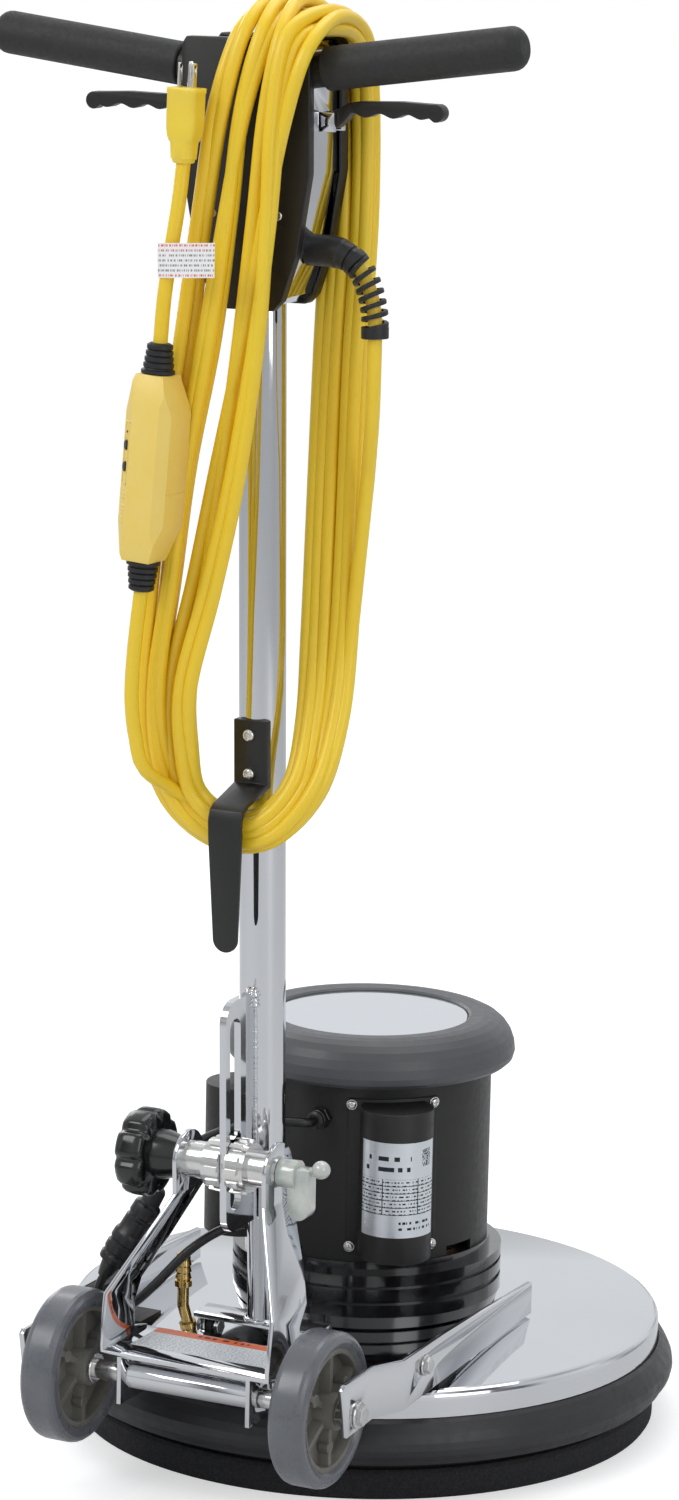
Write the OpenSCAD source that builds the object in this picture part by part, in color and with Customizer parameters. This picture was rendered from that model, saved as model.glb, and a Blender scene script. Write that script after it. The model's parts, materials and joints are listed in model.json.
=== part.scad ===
// Rotary floor machine: one round head driven through a planetary gear, a wheeled yoke and a tilting handle.
// Origin: centre of the pad's underside, on the floor. +Z up, the operator stands on the -Y side.

/* [Floor head] */
// Diameter of the floor pad
pad_d = 506; // [500:1:508]
// Thickness of the floor pad
pad_t = 25; // [22:1:25]
// Diameter of the chrome deck's rim
deck_d = 512; // [511:0.5:513]
// Outside diameter of the rubber bumper
bumper_d = 539; // [530:1:545]

/* [Motor] */
// Diameter of the motor shell
motor_d = 209; // [208:0.5:210]
// Height of the motor shell's top rim
motor_top = 318; // [316:1:320]
// Diameter of the cover ring on top of the motor
cover_d = 249; // [244:1:252]

/* [Wheels] */
// Diameter of the transport wheels
wheel_d = 127; // [120:1:130]
// Width of a tyre
tyre_w = 32; // [28:1:33]
// Distance from the mid plane to a wheel's middle
wheel_x = 113; // [112.5:0.5:114]

/* [Handle] */
// Diameter of the main handle tube
tube_d = 38.1; // [37:0.1:38.1]
// Angle that the stored handle leans back
handle_lean = 2.1; // [1.9:0.1:2.3]
// Rise of each half of the cross bar
bar_rise = 7.3; // [6:0.1:8]
// Reach of each half of the cross bar to its rounded end
bar_reach = 233; // [220:1:240]

/* [Hidden] */
$fn = 64;
gap = 0.05;
deck_t = 3;
deck_rim_z = 92;
deck_seat_z = 112;
pivot_y = -197.5;
pivot_z = 116;
axle_y = -318;
axle_z = 106.4;
clamp_y = -257;
clamp_z = 277;
axle_r = 8;
clamp_r = 5;
cord_r = 5.75;
bar_y = -12.5;
bar_z = 1041;
bar_r = 14;
grip_r = 17.2;
shaft_r = 10;
// Switch housing in the handle's frame: back face, then start and width of the band between its covers
cover_y = -30;
band_y = -21;
band_w = 48;
cover_lip = 3;

// Planetary gear: fixed ring, driven sun, the carrier turns the pad
tooth_m = 1.5;
sun_n = 11;
planet_n = 43;
ring_n = 97;
planet_count = 3;
planet_r = tooth_m * (sun_n + planet_n) / 2;
gear_z = 84;
gear_h = 20;
pin_r = 7;

// Route of the loose end from the strain relief down to the winding
drop_route = [[99, -228, 955], [99, -226, 925], [97, -216, 890], [93, -203, 860], [88, -192, 830],
    [82, -185, 795]];
// Route from the winding up to the leakage breaker
tail_route = [[-50, -293, 588], [-60, -303, 606], [-65, -311, 632], [-66, -317, 665], [-62, -321, 705],
    [-55.2, -323, 754.2]];
// Route from the leakage breaker up to the plug
lead_route = [[-40.8, -323, 950.8], [-38, -323, 985], [-34, -321, 1020], [-30, -316, 1060], [-28, -313, 1090]];
// Route of the moulded strain relief out of the switch housing
relief_route = [[30, -230, 1022], [50, -230, 1022], [66, -230, 1021], [82, -229, 1013], [92, -228, 997],
    [98, -228, 976], [99, -228, 955]];
relief_radii = [12, 11, 8.5, 8, 8, 8, 8.5];
// Route of the motor's lead from its gland to the inline connector
motor_route = [[5, -119, 282], [3, -127, 282], [-10, -136, 283], [-35, -150, 281], [-60, -178, 275],
    [-78, -203, 260], [-86, -211, 246], [-90.4, -215, 233.2]];
// Route of the handle's lead from the inline connector to the lower tube
handle_route = [[-133.6, -230, 154.4], [-138, -231.5, 144], [-134, -234, 132], [-120, -239, 128],
    [-100, -243, 138], [-80, -238, 158], [-57, -225, 186], [-36, -212, 203], [-17, -202, 210]];
connector_top = [-90.4, -215, 233.2];
connector_bottom = [-133.6, -230, 154.4];

// Middle of the wound cord's bundle: place, then half width and half thickness
winding = [
    [[32, -240, 1206], 50, 9.5], [[46, -191, 1203], 40, 9.5], [[53, -175, 1150], 29, 9],
    [[52, -179, 1050], 27, 9], [[47, -179, 930], 27, 9], [[47, -181, 800], 28, 9],
    [[48, -188, 710], 28, 9], [[52, -212, 645], 25, 10], [[48, -240, 595], 23, 11],
    [[22, -255, 559], 20, 12], [[-12, -255, 553], 20, 12], [[-40, -262, 575], 23, 11],
    [[-52, -276, 620], 26, 10], [[-48, -288, 680], 28, 9.5], [[-30, -291, 760], 38, 9.5],
    [[-15, -291, 850], 45, 9.5], [[0, -291, 950], 43, 9.5], [[12, -291, 1050], 42, 9.5],
    [[20, -290, 1130], 44, 9.5], [[24, -283, 1189], 48, 9.5]];
// Side direction of the bundle at each of those places
winding_side = [
    [1, 0, 0], [1, 0, 0], [1, 0, 0], [1, 0, 0], [1, 0, 0], [1, 0, 0], [1, 0, 0], [0.95, 0, -0.2],
    [0.7, 0, -0.7], [0.2, 0, -1], [-0.3, 0, -1], [-0.8, 0, -0.6], [-1, 0, -0.2], [-1, 0, 0],
    [-1, 0, 0], [-1, 0, 0], [-1, 0, 0], [-1, 0, 0], [-1, 0, 0], [-1, 0, 0]];

// ---- helpers ----

module along_x(x) translate([x, 0, 0]) rotate([0, 90, 0]) children();

module on_handle() translate([0, pivot_y, pivot_z]) rotate([handle_lean, 0, 0]) children();

module scale_x(side) if (side < 0) mirror([1, 0, 0]) children(); else children();

// Extrudes an outline drawn in Y and Z along X
module yz_extrude(x, w) translate([x, 0, 0]) rotate([90, 0, 90]) linear_extrude(w) children();

// Extrudes an outline drawn in X and Z along Y
module xz_extrude(y, w) translate([0, y + w, 0]) rotate([90, 0, 0]) linear_extrude(w) children();

function spline(a, b, c, d, t) = 0.5 * (2 * b + (c - a) * t + (2 * a - 5 * b + 4 * c - d) * t * t
    + (3 * b - a - 3 * c + d) * t * t * t);

function smooth(p, n) = let (e = len(p) - 1) concat([for (i = [0 : e - 1], k = [0 : n - 1])
    spline(p[max(i - 1, 0)], p[i], p[i + 1], p[min(i + 2, e)], k / n)], [p[e]]);

function smooth_loop(p, n) = let (e = len(p)) [for (i = [0 : e - 1], k = [0 : n - 1])
    spline(p[(i + e - 1) % e], p[i], p[(i + 1) % e], p[(i + 2) % e], k / n)];

function unit(v) = v / norm(v);

function square_to(v, t) = unit(v - (v * t) * t);

function tube_faces(rings, sides) = concat(
    [for (i = [0 : rings - 2], k = [0 : sides - 1], f = [0, 1]) let (a = i * sides + k,
        b = i * sides + (k + 1) % sides) f == 0 ? [a, b, b + sides] : [a, b + sides, a + sides]],
    [[for (k = [sides - 1 : -1 : 0]) k]],
    [[for (k = [0 : sides - 1]) (rings - 1) * sides + k]]);

// Sweeps a round section along a route; radii gives one radius for each route point
module swept_tube(route, radii, n, sides, up) {
    p = smooth(route, n);
    r = smooth([for (v = radii) [v, 0, 0]], n);
    e = len(p) - 1;
    points = [for (i = [0 : e]) let (t = unit(p[min(i + 1, e)] - p[max(i - 1, 0)]), u = square_to(up, t),
        v = cross(t, u), q = [0 : sides - 1]) each [for (k = q) let (a = 360 * k / sides)
        p[i] + r[i][0] * (cos(a) * u + sin(a) * v)]];
    polyhedron(points, [for (f = tube_faces(e + 1, sides)) [f[2], f[1], f[0],
        for (j = [len(f) - 1 : -1 : 3]) f[j]]]);
}

module cord_run(route) swept_tube(route, [for (p = route) cord_r], 3, 10, [0.1, -1, 0.1]);

// Straight rod between two points
module rod(a, b, r1, r2) {
    d = b - a;
    translate(a) rotate([0, acos(d[2] / norm(d)), atan2(d[1], d[0])]) cylinder(r1 = r1, r2 = r2, h = norm(d));
}

function polar(r, a) = [r * cos(a), r * sin(a)];

function involute(a) = tan(a) * 180 / PI - a;

// Half angle of a tooth of n teeth at radius r; slack is taken off each flank in degrees
function tooth_half(n, r, slack) = let (base = tooth_m * n / 2 * cos(20))
    90 / n - slack + involute(20) - involute(acos(min(1, base / r)));

module gear_outline(n, tip, root, slack, phase) polygon([for (i = [0 : n - 1]) let (c = phase + 360 * i / n,
    low = tooth_half(n, root, slack), high = tooth_half(n, tip, slack))
    each [polar(root, c - low), polar(tip, c - high), polar(tip, c + high), polar(root, c + low)]]);

// Tooth phases that put sun, planets and ring in mesh at rest
function planet_angle(i) = 90 + 120 * i;

function planet_phase(i) = let (q = planet_angle(i), b = (0 - q) * sun_n / 360 - 0.5)
    q + 180 - b * 360 / planet_n;

ring_phase = planet_angle(0) + (planet_phase(0) - planet_angle(0)) * planet_n / ring_n;

// ---- floor head ----

// Section of everything under the deck's outer skin
module deck_section(inset) polygon(concat(
    [[0, 0], [deck_d / 2 - inset, 0], [deck_d / 2 - inset, deck_rim_z - 6]],
    [for (a = [0 : 15 : 75]) [deck_d / 2 - 8 + (8 - inset) * cos(a), deck_rim_z - 6 + (8 - inset) * sin(a)]],
    [[118, deck_seat_z - inset], [0, deck_seat_z - inset]]));

module deck_envelope() rotate_extrude($fn = 128) deck_section(0);

module deck_shell() color([0.8, 0.82, 0.85]) rotate_extrude($fn = 128) difference() {
    deck_section(0);
    deck_section(deck_t);
    translate([-1, -1]) square([94.1, 200]);
    translate([0, -1]) square([300, 41]);
}

module bumper_ring() color([0.17, 0.17, 0.19]) rotate_extrude($fn = 128) polygon([
    [deck_d / 2, 42], [deck_d / 2, 69], [deck_d / 2 + 1.2, 70.5], [deck_d / 2 + 4.5, 68],
    [bumper_d / 2 - 4, 60], [bumper_d / 2 - 0.8, 53], [bumper_d / 2, 47], [bumper_d / 2 - 1.2, 42],
    [bumper_d / 2 - 5, 37], [bumper_d / 2 - 7, 33], [deck_d / 2, 33], [deck_d / 2 - 1, 36],
    [deck_d / 2 - 6, 37], [deck_d / 2 - 6, 40], [deck_d / 2, 40]]);

module floor_pad() color([0.12, 0.12, 0.13]) rotate_extrude($fn = 128) polygon([
    [0, 0], [pad_d / 2 - 2, 0], [pad_d / 2, 3], [pad_d / 2, pad_t - 3], [pad_d / 2 - 2, pad_t], [0, pad_t]]);

module pad_driver() color([0.15, 0.15, 0.16]) difference() {
    union() {
        translate([0, 0, pad_t]) cylinder(d = 490, h = 10);
        for (r = [100, 160, 220]) translate([0, 0, pad_t + 10]) difference() {
            cylinder(r = r + 3, h = 5);
            translate([0, 0, -1]) cylinder(r = r - 3, h = 7);
        }
        translate([0, 0, pad_t + 10]) cylinder(r = 62, h = 44 - pad_t - 10);
    }
    for (a = [45 : 90 : 315]) rotate([0, 0, a]) translate([130, 0, pad_t - 1]) cylinder(r = 14, h = 20);
}

module planet_carrier() color([0.62, 0.63, 0.65]) {
    translate([0, 0, 44]) cylinder(r = 45, h = 12);
    translate([0, 0, 56]) cylinder(r = 20, h = 16);
    translate([0, 0, 72]) cylinder(r = 62, h = 10);
    for (i = [0 : planet_count - 1]) rotate([0, 0, planet_angle(i)]) translate([planet_r, 0, 81])
        cylinder(r = pin_r, h = 26);
}

module planet_gear(i) color([0.55, 0.56, 0.58]) translate(concat(polar(planet_r, planet_angle(i)), gear_z))
    linear_extrude(gear_h) difference() {
        gear_outline(planet_n, 33.4, 30.5, 0.4, planet_phase(i));
        circle(r = pin_r + gap);
    }

module ring_gear() color([0.5, 0.51, 0.53]) translate([0, 0, gear_z]) linear_extrude(gear_h) difference() {
    circle(r = 84.9, $fn = 128);
    gear_outline(ring_n, 74.6, 71.6, -0.18, ring_phase);
}

module gear_housing() color([0.08, 0.08, 0.09]) difference() {
    union() {
        translate([0, 0, 60]) cylinder(r = 93, h = 53);
        translate([0, 0, deck_seat_z]) cylinder(r = 117, h = 11, $fn = 128);
        translate([0, 0, 123]) cylinder(r = 113.5, h = 4, $fn = 128);
        translate([0, 0, 127]) cylinder(r = 117, h = 10, $fn = 128);
        translate([0, 0, 137]) cylinder(r = 113.5, h = 3, $fn = 128);
        translate([0, 0, 140]) cylinder(r = 117, h = 9, $fn = 128);
        translate([0, 0, 149]) cylinder(r = 107, h = 9, $fn = 128);
    }
    translate([0, 0, 59]) cylinder(r = 85, h = 81);
    translate([0, 0, 100]) cylinder(r = shaft_r + gap, h = 80);
    difference() {
        translate([0, 0, 150]) cylinder(r = 95, h = 10);
        translate([0, 0, 149]) cylinder(r = 22, h = 12);
    }
}

module gear_cover() color([0.6, 0.61, 0.63]) difference() {
    translate([0, 0, 60]) cylinder(r = 84.9, h = 8);
    translate([0, 0, 59]) cylinder(r = 20 + gap, h = 10);
}

// ---- motor ----

module motor_shell() color([0.1, 0.1, 0.11]) difference() {
    translate([0, 0, 158]) cylinder(d = motor_d, h = motor_top - 158, $fn = 128);
    translate([0, 0, 157]) cylinder(d = motor_d - 6, h = 131, $fn = 128);
    translate([0, 0, 296]) cylinder(d = motor_d - 6, h = 40, $fn = 128);
    translate([0, 0, 280]) cylinder(r = shaft_r + gap, h = 30);
    for (a = [-15, 75, 165, 255]) rotate([0, 0, a]) translate([90, -16, 157]) cube([30, 32, 9]);
}

module stator() color([0.72, 0.42, 0.2]) translate([0, 0, 184]) difference() {
    union() {
        translate([0, 0, 12]) cylinder(d = motor_d - 6.1, h = 62);
        cylinder(r = 88, h = 84);
    }
    translate([0, 0, -1]) cylinder(r = 48.8, h = 90);
    translate([0, 0, -1]) cylinder(r = 58, h = 13);
    translate([0, 0, 74]) cylinder(r = 58, h = 13);
}

module rotor_shaft() color([0.7, 0.71, 0.73]) {
    translate([0, 0, gear_z]) linear_extrude(gear_h + 5) gear_outline(sun_n, 9.6, 6.6, 1.5, 0);
    translate([0, 0, gear_z + gear_h + 5]) cylinder(r = shaft_r, h = 195);
}

module rotor_core() color([0.58, 0.58, 0.6]) difference() {
    union() {
        translate([0, 0, 194]) cylinder(r = 48, h = 68);
        translate([0, 0, 272]) cylinder(r = 60, h = 3);
        translate([0, 0, 262]) cylinder(r = 22, h = 10);
        for (a = [0 : 30 : 330]) rotate([0, 0, a]) translate([26, -1.5, 275]) cube([32, 3, 9]);
    }
    translate([0, 0, 190]) cylinder(r = shaft_r, h = 90);
}

module top_cover() color([0.3, 0.31, 0.33]) rotate_extrude($fn = 128) polygon(concat(
    [[motor_d / 2 + gap, 313], [119, 313], [cover_d / 2 - 1.5, 316.5]],
    [for (a = [0 : 15 : 90]) [98 + (cover_d / 2 - 98) * cos(a), 322 + 30 * sin(a)]],
    [[86, 351.5], [84, 350], [84, 345], [78, 345], [78, 341], [94, 341], [99, 330], [99, motor_top],
    [motor_d / 2 + gap, motor_top]]));

module top_disc() color([0.78, 0.8, 0.83]) rotate_extrude($fn = 128) polygon([
    [0, 345], [83.8, 345], [83.8, 348.3], [82.4, 349.4], [60, 350.2], [30, 350.6], [0, 350.7]]);

// Round can with its capacitor inside, standing on a flange that follows the shell
module capacitor_cover(turn) color([0.12, 0.12, 0.13]) rotate([0, 0, turn]) {
    difference() {
        translate([118, 0, 168]) cylinder(r = 31, h = 130);
        translate([0, 0, 100]) cylinder(d = motor_d, h = 250, $fn = 128);
    }
    rotate([0, 0, -21.5]) rotate_extrude(angle = 43, $fn = 128) translate([motor_d / 2, 165])
        square([1.8, 136]);
}

module capacitor_cover_right() capacitor_cover(-53);

module capacitor_cover_left() capacitor_cover(-133);

module rating_plate() color([0.8, 0.82, 0.84]) rotate([0, 0, -53]) translate([118, 0, 192])
    rotate([0, 0, -62]) rotate_extrude(angle = 124) translate([31, 0]) square([0.5, 82]);

module cable_gland() color([0.08, 0.08, 0.08]) difference() {
    translate([5, 0, 282]) rotate([90, 0, 0]) {
        translate([0, 0, 103]) cylinder(r = 9, h = 6, $fn = 6);
        translate([0, 0, 108.9]) cylinder(r = 7.5, h = 10.1);
    }
    translate([0, 0, 250]) cylinder(d = motor_d, h = 60, $fn = 128);
}

module motor_lead() color([0.06, 0.06, 0.06]) swept_tube(motor_route, [for (p = motor_route) 4], 3, 8,
    [0.2, 0.1, 1]);

module lead_connector() color([0.07, 0.07, 0.07]) {
    d = connector_bottom - connector_top;
    rod(connector_top, connector_top + 0.2 * d, 6, 9);
    rod(connector_top + 0.18 * d, connector_top + 0.52 * d, 12, 12.5);
    rod(connector_top + 0.5 * d, connector_top + 0.84 * d, 14, 13.5);
    rod(connector_top + 0.82 * d, connector_bottom, 9, 6);
}

module handle_lead() color([0.06, 0.06, 0.06]) swept_tube(handle_route, [for (p = handle_route) 4], 3, 8,
    [0.1, 0.3, 1]);

module hose_barb() color([0.75, 0.58, 0.25]) translate([-112, -129, 0]) difference() {
    union() {
        translate([0, 0, 95]) cylinder(r = 5, h = 27);
        translate([0, 0, 122]) cylinder(r = 7.5, h = 5);
        translate([0, 0, 127]) cylinder(r = 6, h = 24);
        for (z = [129, 135, 141]) translate([0, 0, z]) cylinder(r1 = 7, r2 = 5.8, h = 5);
    }
    translate([0, 0, 90]) cylinder(r = 3.5, h = 70);
    translate([112, 129, 0]) deck_envelope();
}

// ---- chassis ----

module arm_outline() polygon([[-11, 108.5], [-11, 136], [-187, 139.5], [-342, 138], [-346, 134], [-338, 93],
    [-265, 97], [-185, 101]]);

// Plan of the side arm: straight, a joggle inwards, then the axle end
module arm_plan() polygon([[158, -10], [163, -10], [163, -264], [148.5, -290], [148.5, -350],
    [143.5, -350], [143.5, -288.5], [158, -262.5]]);

module side_arm(side) color([0.8, 0.81, 0.83]) scale_x(side) difference() {
    intersection() {
        translate([0, 0, 80]) linear_extrude(70) arm_plan();
        yz_extrude(130, 40) arm_outline();
    }
    along_x(130) translate([-axle_z, axle_y, 0]) cylinder(r = axle_r, h = 40);
    along_x(130) translate([-124, -225, 0]) cylinder(r = 5, h = 40);
}

module side_arm_left() side_arm(-1);

module side_arm_right() side_arm(1);

module axle() color([0.75, 0.76, 0.78]) translate([0, axle_y, axle_z]) along_x(-148.5) cylinder(r = axle_r, h = 297);

// Upright plate of an arm's bracket with its foot on the deck
module arm_bracket() difference() {
    union() {
        translate([152, -240, 101]) cube([6, 90, 33]);
        translate([122, -186, 88]) cube([36, 36, 16]);
    }
    deck_envelope();
    along_x(130) translate([-124, -225, 0]) cylinder(r = 5, h = 40);
}

module hinge_lug() difference() {
    union() {
        translate([44.5, pivot_y, pivot_z]) rotate([0, 90, 0]) cylinder(r = 8, h = 5.3);
        translate([44.5, pivot_y - 12, 90]) cube([5.3, 24, pivot_z - 93]);
        translate([28, pivot_y - 12, 90]) cube([21.8, 24, 15]);
    }
    deck_envelope();
    translate([40, pivot_y, pivot_z]) rotate([0, 90, 0]) cylinder(r = 5, h = 20);
}

module deck_brackets() color([0.2, 0.2, 0.21]) for (side = [-1, 1]) scale_x(side) {
    arm_bracket();
    hinge_lug();
}

// Head of a screw that points outwards from the motor's axis
module case_screw(turn, z) rotate([0, 0, turn]) translate([motor_d / 2 + 1.8, 0, z]) rotate([0, 90, 0])
    cylinder(r = 3.8, h = 2.4);

module washer(x, w, r, bore) along_x(x) difference() {
    cylinder(r = r, h = w);
    translate([0, 0, -1]) cylinder(r = bore, h = w + 2);
}

module machine_fasteners() color([0.75, 0.74, 0.7]) {
    for (turn = [-53, -133], da = [-19.5, 19.5], z = [171.5, 296]) case_screw(turn + da, z);
    for (side = [-1, 1]) scale_x(side) {
        translate([0, axle_y, axle_z]) {
            along_x(148.5) cylinder(r = 11, h = 5);
            washer(132.4, 11.1, 12, axle_r);
            washer(90.4, 3.2, 12.5, axle_r);
        }
        translate([0, -225, 124]) {
            along_x(151) cylinder(r = 5, h = 13);
            along_x(163) cylinder(r = 7.5, h = 5);
            along_x(147) cylinder(r = 8, h = 5);
        }
        translate([0, pivot_y, pivot_z]) {
            along_x(42) cylinder(r = 5, h = 17);
            along_x(39) cylinder(r = 7.5, h = 5.5);
            along_x(54.5) cylinder(r = 7.5, h = 4);
        }
    }
}

// ---- wheels ----

module tyre(side) color([0.38, 0.39, 0.42]) translate([side * wheel_x, axle_y, axle_z]) rotate([0, 90, 0])
    rotate_extrude($fn = 96) polygon(concat([[50, -13], [50, 13], [52, tyre_w / 2 - 0.6], [55, tyre_w / 2]],
        [for (a = [75 : -25 : 0]) [wheel_d / 2 - 7 + 7 * cos(a), tyre_w / 2 - 7 + 7 * sin(a)]],
        [for (a = [0 : 25 : 75]) [wheel_d / 2 - 7 + 7 * cos(a), 7 - tyre_w / 2 - 7 * sin(a)]],
        [[55, -tyre_w / 2], [52, 0.6 - tyre_w / 2]]));

module hub(side) color([0.36, 0.35, 0.33]) translate([side * wheel_x, axle_y, axle_z]) rotate([0, 90, 0])
    difference() {
        union() {
            translate([0, 0, -13]) difference() {
                cylinder(r = 50, h = 26);
                translate([0, 0, 11.5 - 14]) cylinder(r = 46, h = 14);
                translate([0, 0, 14.5]) cylinder(r = 46, h = 14);
            }
            translate([0, 0, -19]) cylinder(r = 15, h = 38);
            for (a = [0 : 60 : 300]) rotate([0, 0, a]) translate([12, -2.5, -11]) cube([35.5, 5, 22]);
        }
        translate([0, 0, -30]) cylinder(r = axle_r + gap, h = 60);
    }

module tyre_left() tyre(-1);

module hub_left() hub(-1);

module tyre_right() tyre(1);

module hub_right() hub(1);

// ---- yoke and clamp ----

// Bent strip seen from behind
module yoke_front() polygon([[-78, 126], [-78, 176], [-43, 250], [-43, 320], [-39, 320], [-39, 251.2],
    [-74, 175], [-74, 130], [74, 130], [74, 175], [39, 251.2], [39, 320], [43, 320], [43, 250], [78, 176],
    [78, 126]]);

// The same strip seen from the side
module yoke_side() {
    polygon([[-338, 120], [-338, 134], [-331, 175], [-280, 252], [clamp_y - 24, clamp_z],
        [clamp_y + 24, clamp_z], [-232, 250], [-256, 200], [-284, 158], [-284, 136], [-262, 131], [-262, 120]]);
    translate([clamp_y, clamp_z]) circle(r = 24);
}

module yoke() color([0.8, 0.81, 0.83]) difference() {
    union() {
        intersection() {
            xz_extrude(-345, 130) yoke_front();
            yz_extrude(-90, 180) yoke_side();
        }
        for (x = [-61, 57]) translate([x, axle_y - 20, axle_z - 20]) cube([4, 40, 40]);
        translate([0, axle_y, axle_z]) along_x(-57.5) cylinder(r = 11, h = 115);
    }
    translate([0, axle_y, axle_z]) along_x(-70) cylinder(r = axle_r + gap, h = 140);
    translate([0, clamp_y, clamp_z]) along_x(-60) cylinder(r = clamp_r, h = 120);
}

module clamp_bolt() color([0.75, 0.76, 0.78]) translate([0, clamp_y, clamp_z]) along_x(-76) cylinder(r = clamp_r, h = 134);

// Collar with a serrated jaw that grips the slotted plate
module clamp_collar() difference() {
    union() {
        along_x(19) cylinder(r = 15.4, h = 20);
        along_x(3.4) cylinder(r = 20.5, h = 15.6);
        for (a = [0 : 30 : 330]) rotate([a, 0, 0]) translate([3.4, -2.2, 18]) cube([11, 4.4, 5]);
    }
    along_x(0) cylinder(r = clamp_r, h = 60);
}

module clamp_collars() color([0.78, 0.79, 0.81]) translate([0, clamp_y, clamp_z]) {
    for (side = [-1, 1]) scale_x(side) clamp_collar();
    washer(-46.7, 3.7, 14, clamp_r);
    washer(43, 1.7, 13, clamp_r);
}

module lock_knob() color([0.05, 0.05, 0.05]) translate([0, clamp_y, clamp_z]) rotate([0, -90, 0]) difference() {
    union() {
        translate([0, 0, 47]) cylinder(r1 = 17, r2 = 21, h = 21.5);
        translate([0, 0, 68]) linear_extrude(24) polygon([for (a = [0 : 5 : 355]) polar(33 + 3.5 * cos(8 * a), a)]);
        translate([0, 0, 91.5]) cylinder(r1 = 26, r2 = 20, h = 3.5);
    }
    translate([0, 0, 40]) cylinder(r = clamp_r + gap, h = 36.5);
}

module clamp_lever() color([0.8, 0.83, 0.8]) translate([0, clamp_y, clamp_z]) difference() {
    union() {
        along_x(45) cylinder(r = 12, h = 16);
        translate([54, -7, -27]) cube([19, 14, 33]);
        translate([63.5, 7, -27]) rotate([90, 0, 0]) cylinder(r = 9.5, h = 14);
        translate([72, 0, 4]) rotate([0, 70, 0]) cylinder(r = 4, h = 8);
        translate([81, 0, 7]) sphere(r = 7.6);
    }
    along_x(40) cylinder(r = clamp_r + gap, h = 18.5);
}

// ---- handle, drawn in its own frame: the pivot is the origin and the tube runs up Z ----

module handle_foot() color([0.8, 0.81, 0.83]) on_handle() {
    difference() {
        union() {
            translate([-58, -13.5, 10]) cube([116, 27, 4]);
            for (x = [-54.2, 50.2]) translate([x, -9, 0]) cube([4, 18, 11]);
            for (x = [-54.2, 50.2]) translate([x, 0, 0]) rotate([0, 90, 0]) cylinder(r = 9, h = 4);
        }
        along_x(-60) cylinder(r = 5 + gap, h = 120);
    }
    difference() {
        translate([0, 0, 13.5]) cylinder(r = 12.7, h = 136);
        translate([0, 0, 12]) cylinder(r = 10.7, h = 140);
    }
}

module bar_rods(r, reach) for (side = [-1, 1]) translate([0, bar_y, bar_z]) scale_x(side)
    rotate([0, 90 - bar_rise, 0]) cylinder(r = r, h = reach);

module bar_solid() {
    bar_rods(bar_r, bar_reach - 8);
    translate([0, bar_y, bar_z]) sphere(r = bar_r);
}

module slot_plate_outline() difference() {
    union() {
        translate([-52, 107]) square([35, 195]);
        translate([-70, 122]) square([20, 162]);
        translate([-52, 284]) circle(r = 18);
        translate([-55, 122]) circle(r = 15);
    }
    translate([-62.9, 133.3]) square([18.6, 144.4]);
    translate([-53.6, 133.3]) circle(r = 9.3);
    translate([-53.6, 277.7]) circle(r = 9.3);
}

module handle_tube() color([0.82, 0.83, 0.85]) on_handle() difference() {
    union() {
        translate([0, 0, 134]) cylinder(d = tube_d, h = bar_z - 134);
        yz_extrude(-3, 6) slot_plate_outline();
    }
    translate([0, 0, 150]) cylinder(d = tube_d - 4, h = 1000);
    translate([0, 0, 100]) cylinder(r = 12.75, h = 60);
    bar_solid();
}

module hook_side() polygon([[-14, 528], [-22, 528], [-22, 476], [-58, 466], [-64, 462], [-67, 454], [-67, 345],
    [-63, 345], [-63, 453], [-59, 460], [-52, 463.5], [-14, 472]]);

module hook_front() {
    polygon([[-15, 530], [15, 530], [15, 440], [11, 356], [-11, 356], [-15, 440]]);
    translate([0, 356]) circle(r = 11);
}

module cord_hook() color([0.1, 0.1, 0.1]) on_handle() difference() {
    union() {
        intersection() {
            yz_extrude(-20, 40) hook_side();
            xz_extrude(-80, 80) hook_front();
        }
        for (z = [484, 516]) translate([0, -24.5, z]) rotate([-90, 0, 0]) cylinder(r = 4.5, h = 6);
    }
    cylinder(d = tube_d, h = 1000);
}

// Outline of the switch housing, pulled in by an inset
module housing_outline(i) polygon([[i - 52, 1072 - i], [i - 56, 1066 - i], [i - 56, 968], [i - 45, 905],
    [i - 32, 868 + i / 2], [i - 24, 860 + i], [24 - i, 860 + i], [32 - i, 868 + i / 2], [45 - i, 905],
    [56 - i, 968], [56 - i, 1066 - i], [52 - i, 1072 - i]]);

module housing_cuts() {
    cylinder(d = tube_d, h = 1030);
    bar_solid();
}

module rear_cover() color([0.1, 0.1, 0.11]) on_handle() difference() {
    xz_extrude(cover_y, band_y - cover_y) housing_outline(0);
    xz_extrude(cover_y + 2.5, 30) housing_outline(3);
    housing_cuts();
}

module side_band() color([0.78, 0.79, 0.8]) on_handle() difference() {
    union() {
        difference() {
            xz_extrude(band_y - cover_lip, band_w + 2 * cover_lip) housing_outline(3);
            xz_extrude(band_y - 5, band_w + 10) housing_outline(5);
        }
        for (side = [-1, 1], y = [-7.8, 8.9]) scale_x(side) translate([51, y, 1000]) cube([15.5, 3.6, 15]);
        for (side = [-1, 1]) translate([side * 60, -8.5, 1008]) rotate([-90, 0, 0]) cylinder(r = 3, h = 22);
    }
    housing_cuts();
}

module front_cover() color([0.1, 0.1, 0.11]) on_handle() difference() {
    xz_extrude(band_y + band_w, 13) housing_outline(0);
    xz_extrude(band_y + band_w - 4, 14) housing_outline(3);
    housing_cuts();
}

module handle_bar() color([0.1, 0.1, 0.1]) on_handle() difference() {
    bar_solid();
    bar_rods(bar_r - 2.5, 400);
}

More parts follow.
